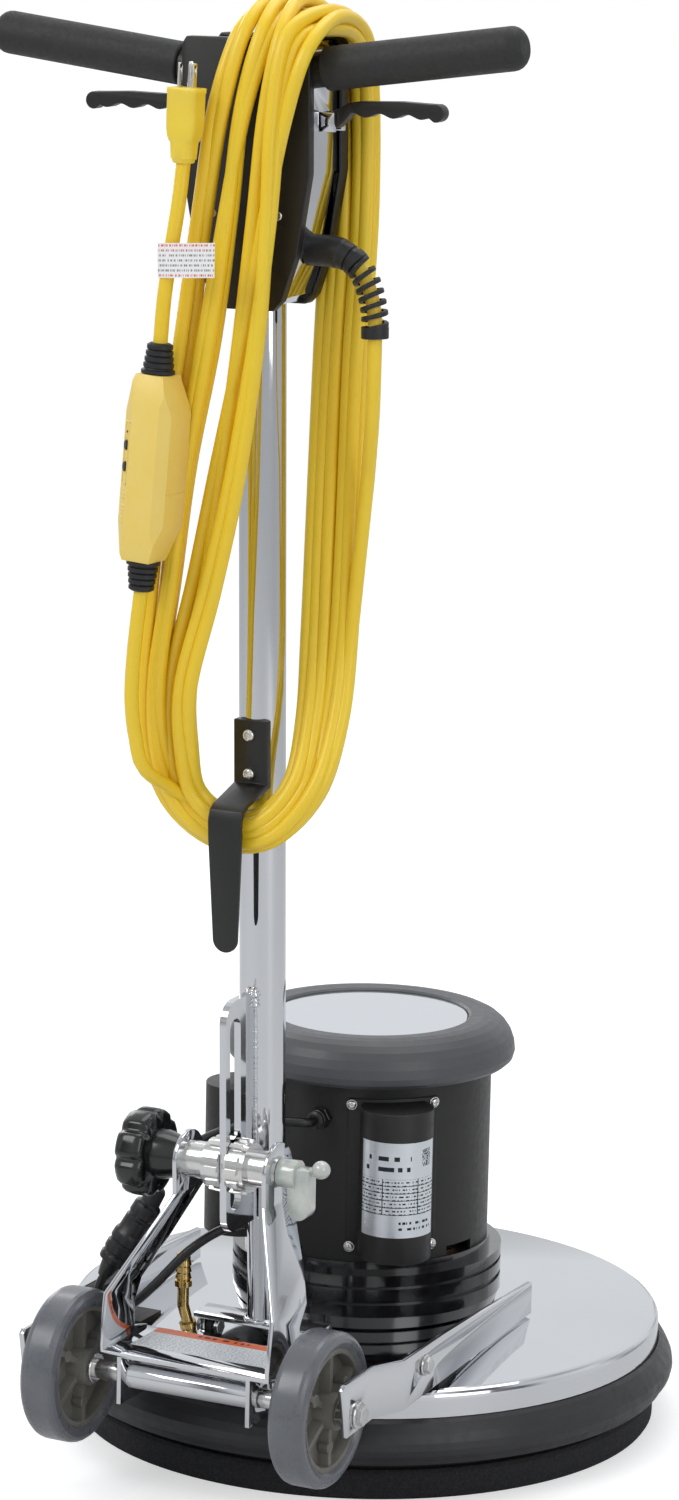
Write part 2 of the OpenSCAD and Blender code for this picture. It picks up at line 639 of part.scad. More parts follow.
module hand_grips() color([0.14, 0.14, 0.15]) on_handle() for (side = [-1, 1]) translate([0, bar_y, bar_z])
    scale_x(side) rotate([0, 90 - bar_rise, 0]) rotate_extrude() polygon(concat(
        [[bar_r, 64], [grip_r - 1, 64], [grip_r, 65]],
        [for (a = [0 : 15 : 75]) [grip_r - 11 + 11 * cos(a), bar_reach - 11 + 11 * sin(a)]],
        [[0, bar_reach], [0, bar_reach - 8], [bar_r, bar_reach - 8]]));

// Lever with a scalloped underside, seen from behind
module trigger_outline() polygon(concat(
    [for (a = [260 : -20 : 120]) [60 + 6.3 * cos(a), 1008 + 6.3 * sin(a)]],
    [[66, 1017], [76, 1022.5], [84, 1024], [120, 1025], [145, 1024]],
    [for (a = [80 : -20 : -100]) [151 + 7 * cos(a), 1017 + 7 * sin(a)]],
    [for (x = [145 : -3 : 79]) [x, 1013.5 + 1.8 * cos((x - 79) * 15)]], [[73, 1008], [66, 1002.5]]));

module trigger(side) color([0.12, 0.12, 0.12]) on_handle() scale_x(side) difference() {
    xz_extrude(-3.6, 12) trigger_outline();
    translate([60, -10, 1008]) rotate([-90, 0, 0]) cylinder(r = 3 + gap, h = 40);
}

module trigger_left() trigger(-1);

module trigger_right() trigger(1);

module strain_relief() color([0.08, 0.08, 0.08]) difference() {
    swept_tube(relief_route, relief_radii, 3, 12, [0, 1, 0.05]);
    on_handle() {
        xz_extrude(band_y - 30, 30) housing_outline(0);
        xz_extrude(band_y - 1, band_w + 2) housing_outline(3);
        xz_extrude(band_y + band_w, 30) housing_outline(0);
    }
}

// ---- power cord ----

module cord_drop() color([0.95, 0.8, 0.1]) cord_run(drop_route);

module cord_tail() color([0.95, 0.8, 0.1]) cord_run(tail_route);

module cord_lead() color([0.95, 0.8, 0.1]) cord_run(lead_route);

// Closed bundle; its section turns half round between the two ends of the list
module cord_winding() color([0.95, 0.8, 0.1]) {
    sides = 12;
    p = smooth_loop([for (s = winding) s[0]], 2);
    e = len(p);
    w = smooth_loop([for (s = winding) [s[1], s[2], 0]], 2);
    u = concat([for (i = [0 : 2 * len(winding) - 1]) let (a = winding_side[floor(i / 2)],
        b = i / 2 < len(winding) - 1 ? winding_side[ceil(i / 2)] : a) a + b]);
    points = [for (i = [0 : e - 1]) let (t = unit(p[(i + 1) % e] - p[(i + e - 1) % e]),
        x = square_to(u[i], t), y = cross(t, x)) each [for (k = [0 : sides - 1]) let (a = 360 * k / sides)
        p[i] + w[i][0] * cos(a) * x + w[i][1] * sin(a) * y]];
    faces = [for (i = [0 : e - 1], k = [0 : sides - 1], f = [0, 1]) let (n = (i + 1) % e,
        s = n == 0 ? sides / 2 : 0, a = i * sides + k, b = i * sides + (k + 1) % sides,
        c = n * sides + (k + s) % sides, d = n * sides + (k + 1 + s) % sides)
        f == 0 ? [d, b, a] : [c, d, a]];
    polyhedron(points, faces);
}

module on_breaker() translate([-48, -323, 852.5]) rotate([0, 4.2, 0]) children();

module breaker_body() color([0.95, 0.8, 0.25]) on_breaker() difference() {
    intersection() {
        xz_extrude(-20, 40) polygon([[-12, 74], [-21.5, 44], [-21.5, -44], [-12, -74], [12, -74], [21.5, -44],
            [21.5, 44], [12, 74]]);
        linear_extrude(200, center = true) polygon([[-22, -7], [-9, -20], [14, -20], [22, -12], [22, 20],
            [-22, 20]]);
        yz_extrude(-30, 60) polygon([[-14, 75], [-20, 50], [-20, -50], [-14, -75], [14, -75], [20, -50], [20, 50],
            [14, 75]]);
    }
    for (z = [17, 0]) breaker_button(z, 4.05, 5.4, 3);
}

// Round button or its pocket, square to the bevelled face of the breaker
module breaker_button(z, r, depth, proud) translate([-15.5, -13.5, z]) rotate([0, 0, 45])
    rotate([0, -90, 0]) translate([0, 0, -depth]) cylinder(r = r, h = depth + proud);

module test_button() color([0.1, 0.1, 0.1]) on_breaker() breaker_button(17, 4, 3.4, 1.4);

module reset_button() color([0.1, 0.1, 0.1]) on_breaker() breaker_button(0, 4, 3.4, 1.4);

module breaker_reliefs() color([0.1, 0.1, 0.1]) on_breaker() for (s = [0, 180]) rotate([0, s, 0]) {
    translate([0, 0, 74]) cylinder(r1 = 11.5, r2 = 8.5, h = 24.5);
    for (z = [76, 82, 88]) translate([0, 0, z]) cylinder(r = 13.3 - (z - 74) * 0.13, h = 3);
}

module plug() color([0.95, 0.8, 0.15]) translate([-28, -313, 1090]) rotate([0, 2, 0]) {
    cylinder(r1 = 9, r2 = 11, h = 18);
    intersection() {
        translate([0, 0, 17]) cylinder(r1 = 12, r2 = 20, h = 60);
        translate([-14.5, -11.5, 17]) cube([29, 23, 41]);
    }
    for (x = [-7, 5.5]) translate([x, -3.2, 57]) cube([1.5, 6.4, 20]);
    translate([0, 6, 57]) cylinder(r = 2.4, h = 21);
}

module cord_tag() color([0.95, 0.95, 0.95]) translate([-40, -328.7, 1002]) cube([48, 0.8, 26]);

deck_shell();
bumper_ring();
gear_housing();
gear_cover();
ring_gear();
motor_shell();
stator();
top_cover();
top_disc();
capacitor_cover_right();
capacitor_cover_left();
rating_plate();
machine_fasteners();
cable_gland();
motor_lead();
lead_connector();
handle_lead();
hose_barb();
side_arm_left();
side_arm_right();
deck_brackets();
axle();
floor_pad();
pad_driver();
planet_carrier();
planet_gear(0);  // planet_gear_1
planet_gear(1);  // planet_gear_2
planet_gear(2);  // planet_gear_3
rotor_shaft();
rotor_core();
yoke();
clamp_bolt();
clamp_collars();
lock_knob();
clamp_lever();
tyre_left();
hub_left();
tyre_right();
hub_right();
handle_foot();
handle_tube();
cord_hook();
rear_cover();
front_cover();
side_band();
handle_bar();
hand_grips();
trigger_left();
trigger_right();
strain_relief();
cord_drop();
cord_winding();
cord_tail();
breaker_body();
breaker_reliefs();
test_button();
reset_button();
cord_lead();
plug();
cord_tag();
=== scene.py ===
"""Looks of the rotary floor machine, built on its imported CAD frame. Lengths are in metres."""
import json
import math

import bmesh
import bpy
from mathutils import Matrix, Vector, noise

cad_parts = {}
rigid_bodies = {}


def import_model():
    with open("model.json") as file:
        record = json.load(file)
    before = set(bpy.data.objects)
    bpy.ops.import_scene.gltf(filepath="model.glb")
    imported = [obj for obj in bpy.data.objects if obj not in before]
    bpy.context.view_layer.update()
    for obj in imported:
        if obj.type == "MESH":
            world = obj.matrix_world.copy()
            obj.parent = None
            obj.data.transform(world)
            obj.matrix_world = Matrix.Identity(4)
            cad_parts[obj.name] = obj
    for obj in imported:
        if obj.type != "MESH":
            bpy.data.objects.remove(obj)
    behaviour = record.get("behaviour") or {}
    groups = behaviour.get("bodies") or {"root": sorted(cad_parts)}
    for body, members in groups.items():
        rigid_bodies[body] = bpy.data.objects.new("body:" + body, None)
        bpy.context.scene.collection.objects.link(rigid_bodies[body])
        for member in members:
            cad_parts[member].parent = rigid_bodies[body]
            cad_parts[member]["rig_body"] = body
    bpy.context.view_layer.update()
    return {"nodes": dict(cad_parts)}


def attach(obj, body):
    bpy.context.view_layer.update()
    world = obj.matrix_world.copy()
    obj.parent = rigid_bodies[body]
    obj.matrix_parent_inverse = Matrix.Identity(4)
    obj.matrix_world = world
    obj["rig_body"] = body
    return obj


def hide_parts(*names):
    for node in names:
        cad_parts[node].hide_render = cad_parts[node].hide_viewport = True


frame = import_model()
nodes = frame["nodes"]

MM = 0.001
CORD_D = 0.0115
LEAD_D = 0.008
PIVOT = Vector((0, -0.1975, 0.116))
LEAN = math.radians(2.1)
AXLE = Vector((0, -0.318, 0.1064))
CLAMP = Vector((0, -0.257, 0.277))
MOTOR_R = 0.1045
HANDLE = Matrix.Translation(PIVOT) @ Matrix.Rotation(LEAN, 4, "X")
BREAKER = Matrix.Translation((-0.048, -0.323, 0.8525)) @ Matrix.Rotation(math.radians(4.2), 4, "Y")
PLUG = Matrix.Translation((-0.028, -0.313, 1.09)) @ Matrix.Rotation(math.radians(2), 4, "Y")
# Directions of the right and left capacitor covers round the motor, in degrees
COVER_TURNS = (-53, -133)
CAN = Matrix.Rotation(math.radians(COVER_TURNS[0]), 4, "Z") @ Matrix.Translation((0.118, 0, 0))


# ---- camera ----

def make_camera():
    """A long lens, slightly above, behind the machine's right side."""
    azimuth, pitch, roll = (math.radians(a) for a in (26.14, 10.5, 1.18))
    back = Vector((math.sin(azimuth) * math.cos(pitch), -math.cos(azimuth) * math.cos(pitch), math.sin(pitch)))
    level = Vector((math.cos(azimuth), math.sin(azimuth), 0))
    above = back.cross(level)
    right = math.cos(roll) * level + math.sin(roll) * above
    up = math.cos(roll) * above - math.sin(roll) * level
    data = bpy.data.cameras.new("camera")
    data.sensor_width = 36
    data.lens = 106.365
    data.clip_end = 50
    camera = bpy.data.objects.new("camera", data)
    bpy.context.collection.objects.link(camera)
    camera.matrix_world = Matrix((right, up, back)).transposed().to_4x4()
    camera.location = Vector((-0.03646, 0, 0.57735)) + 3.80703 * back
    bpy.context.scene.camera = camera


# ---- mesh tools ----

def mesh_object(name, points, faces, smooth=True):
    mesh = bpy.data.meshes.new(name)
    mesh.from_pydata([tuple(p) for p in points], [], faces)
    mesh.validate()
    mesh.update()
    mesh.shade_smooth() if smooth else mesh.shade_flat()
    piece = bpy.data.objects.new(name, mesh)
    bpy.context.collection.objects.link(piece)
    return piece


def smooth_path(points, step):
    """Catmull-Rom curve through points, with a point about every step metres."""
    points = [Vector(p) for p in points]
    path = []
    for i in range(len(points) - 1):
        a, b = points[max(i - 1, 0)], points[i]
        c, d = points[i + 1], points[min(i + 2, len(points) - 1)]
        count = max(1, round((c - b).length / step))
        for k in range(count):
            t = k / count
            path.append(0.5 * (2 * b + (c - a) * t + (2 * a - 5 * b + 4 * c - d) * t * t
                               + (3 * b - a - 3 * c + d) * t ** 3))
    path.append(points[-1])
    return path


def path_frames(path, up):
    """Tangent and two side directions at each point of a path, turning as little as possible."""
    frames = []
    side = Vector(up)
    for i, p in enumerate(path):
        tangent = (path[min(i + 1, len(path) - 1)] - path[max(i - 1, 0)]).normalized()
        side = (side - side.dot(tangent) * tangent).normalized()
        frames.append((tangent, side, tangent.cross(side)))
    return frames


def tube_faces(rings, sides, start=True, end=True):
    """Quads between rings of points that follow one another, and the caps at the two ends."""
    faces = []
    for i in range(rings - 1):
        for k in range(sides):
            a, b = i * sides + k, i * sides + (k + 1) % sides
            faces.append((a, b, b + sides, a + sides))
    if start:
        faces.append(tuple(range(sides - 1, -1, -1)))
    if end:
        faces.append(tuple((rings - 1) * sides + k for k in range(sides)))
    return faces


def circle(middle, side, other, radius, sides):
    """Points round a circle in the plane of two directions."""
    angles = (2 * math.pi * k / sides for k in range(sides))
    return [middle + radius * (math.cos(a) * side + math.sin(a) * other) for a in angles]


def sweep(name, path, radius, sides=16, up=(0, 0, 1)):
    """Round tube along a path; radius is a number or a function of the share of the path done."""
    points = []
    last = len(path) - 1
    for i, (p, (_, side, other)) in enumerate(zip(path, path_frames(path, up))):
        points += circle(p, side, other, radius(i / last) if callable(radius) else radius, sides)
    return mesh_object(name, points, tube_faces(len(path), sides))


def revolve(name, profile, place=Matrix(), sides=48, lobe=None):
    """Solid of revolution about place's Z; profile is radius and height pairs, lobe changes the radius."""
    points = []
    for r, z in profile:
        for k in range(sides):
            angle = 2 * math.pi * k / sides
            reach = r if lobe is None else lobe(r, angle)
            points.append(place @ Vector((reach * math.cos(angle), reach * math.sin(angle), z)))
    faces = tube_faces(len(profile), sides, profile[0][0] > 0, profile[-1][0] > 0)
    piece = mesh_object(name, points, faces)
    smooth_by_angle(piece, 35)
    return piece


def smooth_by_angle(piece, degrees):
    """Marks edges sharper than an angle, so that the rest shades smoothly."""
    work = bmesh.new()
    work.from_mesh(piece.data)
    bmesh.ops.remove_doubles(work, verts=work.verts, dist=1e-6)
    for edge in work.edges:
        edge.smooth = len(edge.link_faces) == 2 and edge.calc_face_angle(0) < math.radians(degrees)
    for face in work.faces:
        face.smooth = True
    work.to_mesh(piece.data)
    work.free()


def add_modifier(piece, kind, **settings):
    modifier = piece.modifiers.new(kind.lower(), kind)
    for key, value in settings.items():
        setattr(modifier, key, value)
    bpy.context.view_layer.objects.active = piece
    bpy.ops.object.select_all(action="DESELECT")
    piece.select_set(True)
    bpy.ops.object.modifier_apply(modifier=modifier.name)


def rounded(node, width, segments=2, angle=30):
    """Copy of a CAD node with its sharp edges rounded; it takes the node's place."""
    piece = bpy.data.objects.new(node + "_rounded", nodes[node].data.copy())
    bpy.context.collection.objects.link(piece)
    work = bmesh.new()
    work.from_mesh(piece.data)
    bmesh.ops.remove_doubles(work, verts=work.verts, dist=2e-6)
    bmesh.ops.dissolve_limit(work, angle_limit=math.radians(0.6), verts=work.verts, edges=work.edges)
    work.to_mesh(piece.data)
    work.free()
    add_modifier(piece, "BEVEL", width=width, segments=segments, limit_method="ANGLE",
                 angle_limit=math.radians(angle), use_clamp_overlap=True, loop_slide=False)
    smooth_by_angle(piece, 38)
    return piece


def box_piece(name, low, high, place=Matrix(), bevel=0.0):
    corners = [Vector((x, y, z)) for x in (low[0], high[0]) for y in (low[1], high[1])
               for z in (low[2], high[2])]
    faces = [(0, 1, 3, 2), (4, 6, 7, 5), (0, 4, 5, 1), (2, 3, 7, 6), (0, 2, 6, 4), (1, 5, 7, 3)]
    piece = mesh_object(name, [place @ c for c in corners], faces, smooth=False)
    if bevel:
        add_modifier(piece, "BEVEL", width=bevel, segments=3)
        smooth_by_angle(piece, 50)
    return piece


def joined(name, pieces):
    bpy.ops.object.select_all(action="DESELECT")
    for piece in pieces:
        piece.select_set(True)
    bpy.context.view_layer.objects.active = pieces[0]
    bpy.ops.object.join()
    pieces[0].name = name
    return pieces[0]


def turned_to(direction, origin, roll=0.0):
    """Placement whose Z points along a direction."""
    turn = Vector(direction).to_track_quat("Z", "Y").to_matrix().to_4x4()
    return Matrix.Translation(origin) @ turn @ Matrix.Rotation(roll, 4, "Z")


# ---- material tools ----

class Shader:
    """Small helper that builds one node material."""

    def __init__(self, name, color, rough=0.5, metal=0.0, **sockets):
        self.material = bpy.data.materials.new(name)
        self.material.use_nodes = True
        self.tree = self.material.node_tree
        self.base = self.tree.nodes["Principled BSDF"]
        self.color = color
        self.base.inputs["Base Color"].default_value = (*color, 1)
        self.base.inputs["Roughness"].default_value = rough
        self.base.inputs["Metallic"].default_value = metal
        for key, value in sockets.items():
            self.base.inputs[key.replace("_", " ")].default_value = value

    def node(self, kind, **settings):
        made = self.tree.nodes.new(kind)
        for key, value in settings.items():
            setattr(made, key, value)
        return made

    def link(self, source, target):
        self.tree.links.new(source, target)

    def math(self, operation, a, b=0.0, clamp=False):
        made = self.node("ShaderNodeMath", operation=operation, use_clamp=clamp)
        for socket, value in zip(made.inputs, (a, b)):
            if isinstance(value, (int, float)):
                socket.default_value = value
            else:
                self.link(value, socket)
        return made.outputs[0]

    def times(self, a, b):
        return self.math("MULTIPLY", a, b)

    def noise(self, scale, detail=3.0, rough=0.5, stretch=(1, 1, 1), place="Object"):
        coords = self.node("ShaderNodeTexCoord")
        mapping = self.node("ShaderNodeMapping")
        mapping.inputs["Scale"].default_value = stretch
        self.link(coords.outputs[place], mapping.inputs["Vector"])
        made = self.node("ShaderNodeTexNoise")
        made.inputs["Scale"].default_value = scale
        made.inputs["Detail"].default_value = detail
        made.inputs["Roughness"].default_value = rough
        self.link(mapping.outputs[0], made.inputs["Vector"])
        return made.outputs["Fac"]

    def ranged(self, value, low, high, to_low, to_high):
        made = self.node("ShaderNodeMapRange")
        for key, number in (("From Min", low), ("From Max", high), ("To Min", to_low), ("To Max", to_high)):
            made.inputs[key].default_value = number
        self.link(value, made.inputs["Value"])
        return made.outputs["Result"]

    def mix(self, factor, a, b):
        made = self.node("ShaderNodeMix", data_type="RGBA")
        for socket, value in ((made.inputs["A"], a), (made.inputs["B"], b)):
            if isinstance(value, (tuple, list)):
                socket.default_value = (*value, 1)
            else:
                self.link(value, socket)
        self.link(factor, made.inputs["Factor"])
        return made.outputs["Result"]

    def mottle(self, scale, amount, tint=None, stretch=(1, 1, 1)):
        """Slow colour variation towards a second colour."""
        tint = tint or tuple(min(1, c * 1.35 + 0.004) for c in self.color)
        factor = self.ranged(self.noise(scale, 4, 0.55, stretch), 0.35, 0.7, 0, amount)
        self.paint(self.mix(factor, self.color, tint))
        return self

    def paint(self, color):
        self.link(color, self.base.inputs["Base Color"])

    def uneven(self, scale, low, high, stretch=(1, 1, 1)):
        """Roughness that varies between two values."""
        level = self.ranged(self.noise(scale, 5, 0.6, stretch), 0.3, 0.7, low, high)
        self.link(level, self.base.inputs["Roughness"])
        return self

    def bump(self, height, strength, distance):
        made = self.node("ShaderNodeBump")
        made.inputs["Strength"].default_value = strength
        made.inputs["Distance"].default_value = distance
        self.link(height, made.inputs["Height"])
        previous = self.base.inputs["Normal"].links
        if previous:
            self.link(previous[0].from_socket, made.inputs["Normal"])
        self.link(made.outputs[0], self.base.inputs["Normal"])
        return self

    def grain(self, scale, strength, distance=0.0004, stretch=(1, 1, 1), detail=3.0):
        return self.bump(self.noise(scale, detail, 0.6, stretch), strength, distance)


def make_materials():
    made = {}

    def add(name, color, rough=0.5, metal=0.0, **sockets):
        made[name] = Shader(name, color, rough, metal, **sockets)
        return made[name]

    add("chrome", (0.66, 0.67, 0.69), 0.05, 1.0).uneven(60, 0.03, 0.08).mottle(9, 0.35, (0.6, 0.62, 0.66)) \
        .grain(14, 0.04, 0.0005)
    add("hardware", (0.74, 0.74, 0.73), 0.18, 1.0).uneven(90, 0.14, 0.26).mottle(50, 0.4, (0.62, 0.61, 0.58)) \
        .grain(160, 0.05, 0.0002)
    add("gear_steel", (0.5, 0.5, 0.51), 0.3, 1.0).uneven(200, 0.22, 0.42).grain(300, 0.12, 0.0002, (1, 1, 8))
    add("cast_black", (0.006, 0.006, 0.007), 0.12, Specular_IOR_Level=0.6, Coat_Weight=0.7,
        Coat_Roughness=0.06).uneven(90, 0.1, 0.24).grain(150, 0.16, 0.0006)
    add("cast_raw", (0.55, 0.56, 0.57), 0.45, 1.0).uneven(120, 0.35, 0.6).grain(350, 0.4, 0.0004)
    add("motor_paint", (0.013, 0.0125, 0.0125), 0.42, Specular_IOR_Level=0.45).uneven(180, 0.36, 0.5) \
        .mottle(30, 0.5, (0.019, 0.018, 0.018)).grain(900, 0.16, 0.0002)
    add("copper_winding", (0.5, 0.22, 0.09), 0.3, 1.0).grain(220, 0.8, 0.001, (1, 1, 6))
    add("cover_grey", (0.072, 0.076, 0.083), 0.4, 0.0).uneven(140, 0.36, 0.48) \
        .mottle(25, 0.5, (0.088, 0.093, 0.1)).grain(1100, 0.2, 0.0002)
    add("disc", (0.7, 0.72, 0.76), 0.08, 1.0).uneven(60, 0.05, 0.11).grain(9, 0.06, 0.001)
    add("bumper_rubber", (0.018, 0.018, 0.021), 0.4).uneven(90, 0.34, 0.52) \
        .mottle(22, 0.6, (0.03, 0.03, 0.034)).grain(700, 0.25, 0.0003).grain(40, 0.12, 0.0008, (1, 1, 8))
    add("pad_fibre", (0.009, 0.009, 0.011), 0.85).mottle(500, 0.9, (0.03, 0.03, 0.034)) \
        .grain(900, 1.0, 0.0016, (1, 1, 2.5), 5).grain(260, 0.8, 0.002)
    add("driver_plastic", (0.012, 0.012, 0.013), 0.35).uneven(120, 0.28, 0.42).grain(500, 0.15, 0.0003)
    add("knob_plastic", (0.006, 0.006, 0.006), 0.16, Coat_Weight=0.3, Coat_Roughness=0.1) \
        .uneven(70, 0.12, 0.26).grain(160, 0.1, 0.0003)
    add("lead_rubber", (0.009, 0.009, 0.01), 0.3).uneven(150, 0.24, 0.42).grain(600, 0.12, 0.0002)
    add("relief_rubber", (0.012, 0.012, 0.013), 0.45).uneven(150, 0.36, 0.55).grain(700, 0.25, 0.0003)
    add("brass", (0.72, 0.5, 0.18), 0.22, 1.0).uneven(200, 0.16, 0.34).mottle(80, 0.6, (0.55, 0.36, 0.12))
    add("tyre_rubber", (0.115, 0.122, 0.138), 0.28, Subsurface_Weight=0.25, Subsurface_Scale=0.004,
        Coat_Weight=0.35, Coat_Roughness=0.2).uneven(80, 0.22, 0.4).mottle(45, 0.7, (0.15, 0.158, 0.175)) \
        .grain(260, 0.1, 0.0004)
    add("wheel_plastic", (0.15, 0.145, 0.128), 0.4, Subsurface_Weight=0.2, Subsurface_Scale=0.004) \
        .uneven(110, 0.32, 0.5).mottle(60, 0.8, (0.2, 0.195, 0.175)).grain(300, 0.2, 0.0004)
    add("lever_metal", (0.44, 0.48, 0.45), 0.16, 0.1, Subsurface_Weight=0.35, Subsurface_Scale=0.006,
        Coat_Weight=0.8, Coat_Roughness=0.06).uneven(60, 0.12, 0.26).mottle(70, 0.8, (0.66, 0.69, 0.65)) \
        .grain(110, 0.25, 0.0006)
    add("bar_paint", (0.012, 0.012, 0.012), 0.38).uneven(160, 0.3, 0.46).grain(700, 0.2, 0.0002)
    add("housing_plastic", (0.012, 0.0105, 0.0095), 0.38).uneven(150, 0.32, 0.46) \
        .mottle(30, 0.5, (0.017, 0.015, 0.014)).grain(1300, 0.3, 0.0002)
    add("grip_rubber", (0.018, 0.0175, 0.018), 0.6).uneven(260, 0.52, 0.7) \
        .mottle(60, 0.6, (0.026, 0.025, 0.026)).grain(1500, 0.4, 0.0003)
    add("cord_yellow", (0.9, 0.61, 0.022), 0.34, Subsurface_Weight=0.08, Subsurface_Scale=0.003,
        Coat_Weight=0.15, Coat_Roughness=0.3).uneven(18, 0.3, 0.38) \
        .mottle(10, 0.5, (0.92, 0.68, 0.04)).grain(45, 0.05, 0.0003)
    add("plug_yellow", (0.9, 0.66, 0.05), 0.32, Subsurface_Weight=0.1, Subsurface_Scale=0.003,
        Coat_Weight=0.2).uneven(150, 0.26, 0.42).mottle(60, 0.5, (0.93, 0.72, 0.08)).grain(500, 0.12, 0.0002)
    add("breaker_yellow", (0.9, 0.66, 0.15), 0.35, Subsurface_Weight=0.1, Subsurface_Scale=0.003) \
        .uneven(150, 0.3, 0.45).mottle(60, 0.5, (0.92, 0.7, 0.2)).grain(900, 0.15, 0.0002)
    floor = add("floor", (0.7, 0.7, 0.7), 0.6, Emission_Color=(1, 1, 1, 1)).mottle(3, 0.4, (0.67, 0.67, 0.68))
    rays = floor.node("ShaderNodeLightPath")
    floor.link(floor.times(rays.outputs["Is Camera Ray"], 0.5), floor.base.inputs["Emission Strength"])
    add("led", (0.05, 0.01, 0.01), 0.15, Coat_Weight=1.0).mottle(300, 0.3)
    add("plate", (0.72, 0.76, 0.8), 0.3, 0.85)
    add("decal", (0.78, 0.8, 0.82), 0.4)
    add("tag", (0.9, 0.9, 0.9), 0.4)
    printed_plate(made["plate"])
    printed_decal(made["decal"])
    printed_tag(made["tag"])
    return {name: shader.material for name, shader in made.items()}


def uv_axes(shader):
    coords = shader.node("ShaderNodeTexCoord")
    split = shader.node("ShaderNodeSeparateXYZ")
    shader.link(coords.outputs["UV"], split.inputs[0])
    return split.outputs["X"], split.outputs["Y"]


def inside(shader, value, low, high):
    return shader.times(shader.math("GREATER_THAN", value, low), shader.math("LESS_THAN", value, high))


def squiggle_rows(shader, u, v, rows, dense):
    """Rows of broken marks that read as small print without being any."""
    row = shader.math("FRACT", shader.times(v, rows))
    line = inside(shader, row, 0.3, 0.72)
    index = shader.math("FLOOR", shader.times(v, rows))
    place = shader.node("ShaderNodeCombineXYZ")
    shader.link(shader.times(u, dense), place.inputs[0])
    shader.link(index, place.inputs[1])
    marks = shader.node("ShaderNodeTexNoise")
    marks.inputs["Scale"].default_value = 1.0
    marks.inputs["Detail"].default_value = 2.0
    shader.link(place.outputs[0], marks.inputs["Vector"])
    return shader.times(line, shader.math("GREATER_THAN", marks.outputs["Fac"], 0.5))


def printed_plate(shader):
    """Silver rating plate with a ruled table and rows of small marks."""
    u, v = uv_axes(shader)
    table = inside(shader, v, 0.24, 0.62)
    rows = shader.math("FRACT", shader.times(shader.math("SUBTRACT", v, 0.24), 13.2))
    rule = shader.times(table, shader.math("LESS_THAN", rows, 0.1))
    for column in (0.3, 0.72):
        line = shader.times(table, inside(shader, u, column, column + 0.012))
        rule = shader.math("MAXIMUM", rule, line)
    cells = shader.times(squiggle_rows(shader, u, v, 26.4, 26), table)
    heading = shader.times(squiggle_rows(shader, u, v, 9, 8), inside(shader, v, 0.68, 0.92))
    heading = shader.times(heading, inside(shader, u, 0.08, 0.64))
    badge = shader.times(inside(shader, u, 0.78, 0.92), inside(shader, v, 0.74, 0.92))
    badge = shader.times(badge, shader.math("GREATER_THAN", shader.noise(900, 1), 0.5))
    foot = shader.times(squiggle_rows(shader, u, v, 16, 20), inside(shader, v, 0.06, 0.2))
    foot = shader.times(foot, inside(shader, u, 0.5, 0.94))
    ink = rule
    for marks in (cells, heading, badge, foot):
        ink = shader.math("MAXIMUM", ink, marks)
    shader.paint(shader.mix(ink, (0.7, 0.74, 0.78), (0.03, 0.035, 0.04)))
    shader.uneven(200, 0.26, 0.4)


def printed_decal(shader):
    """Orange header band over a silver field of small marks."""
    u, v = uv_axes(shader)
    field = shader.mix(squiggle_rows(shader, u, v, 15, 60), (0.74, 0.77, 0.8), (0.36, 0.38, 0.41))
    header = shader.math("GREATER_THAN", v, 0.76)
    title = shader.times(squiggle_rows(shader, u, v, 5, 22), inside(shader, u, 0.3, 0.7))
    band = shader.mix(title, (0.75, 0.13, 0.02), (0.03, 0.01, 0.005))
    shader.paint(shader.mix(header, field, band))
    shader.uneven(200, 0.3, 0.45)


def printed_tag(shader):
    """White film with red top and bottom rows and grey rows between."""
    u, v = uv_axes(shader)
    rows = squiggle_rows(shader, u, v, 7, 34)
    edge = shader.math("MAXIMUM", shader.math("GREATER_THAN", v, 0.78), shader.math("LESS_THAN", v, 0.18))
    ink = shader.mix(edge, (0.25, 0.25, 0.27), (0.75, 0.1, 0.07))
    shader.paint(shader.mix(rows, (0.9, 0.9, 0.9), ink))
    shader.uneven(200, 0.3, 0.5)


def finished(piece, look, body, *stand_in):
    """Gives a new piece its material and body, and hides the CAD nodes that it stands for."""
    piece.data.materials.clear()
    piece.data.materials.append(materials[look])
    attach(piece, body)
    if stand_in:
        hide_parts(*stand_in)
    return piece


def refine(node, look, width, segments=2, angle=30):
    """Puts a copy with rounded edges in the place of a CAD node."""
    return finished(rounded(node, width, segments, angle), look, nodes[node]["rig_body"], node)


def paint_node(node, material):
    target = nodes[node]
    for piece in [target, *target.children_recursive]:
        if piece.type == "MESH":
            if not piece.material_slots:
                piece.data.materials.append(materials[material])
            for index in range(len(piece.material_slots)):
                piece.material_slots[index].material = materials[material]


# ---- cords ----

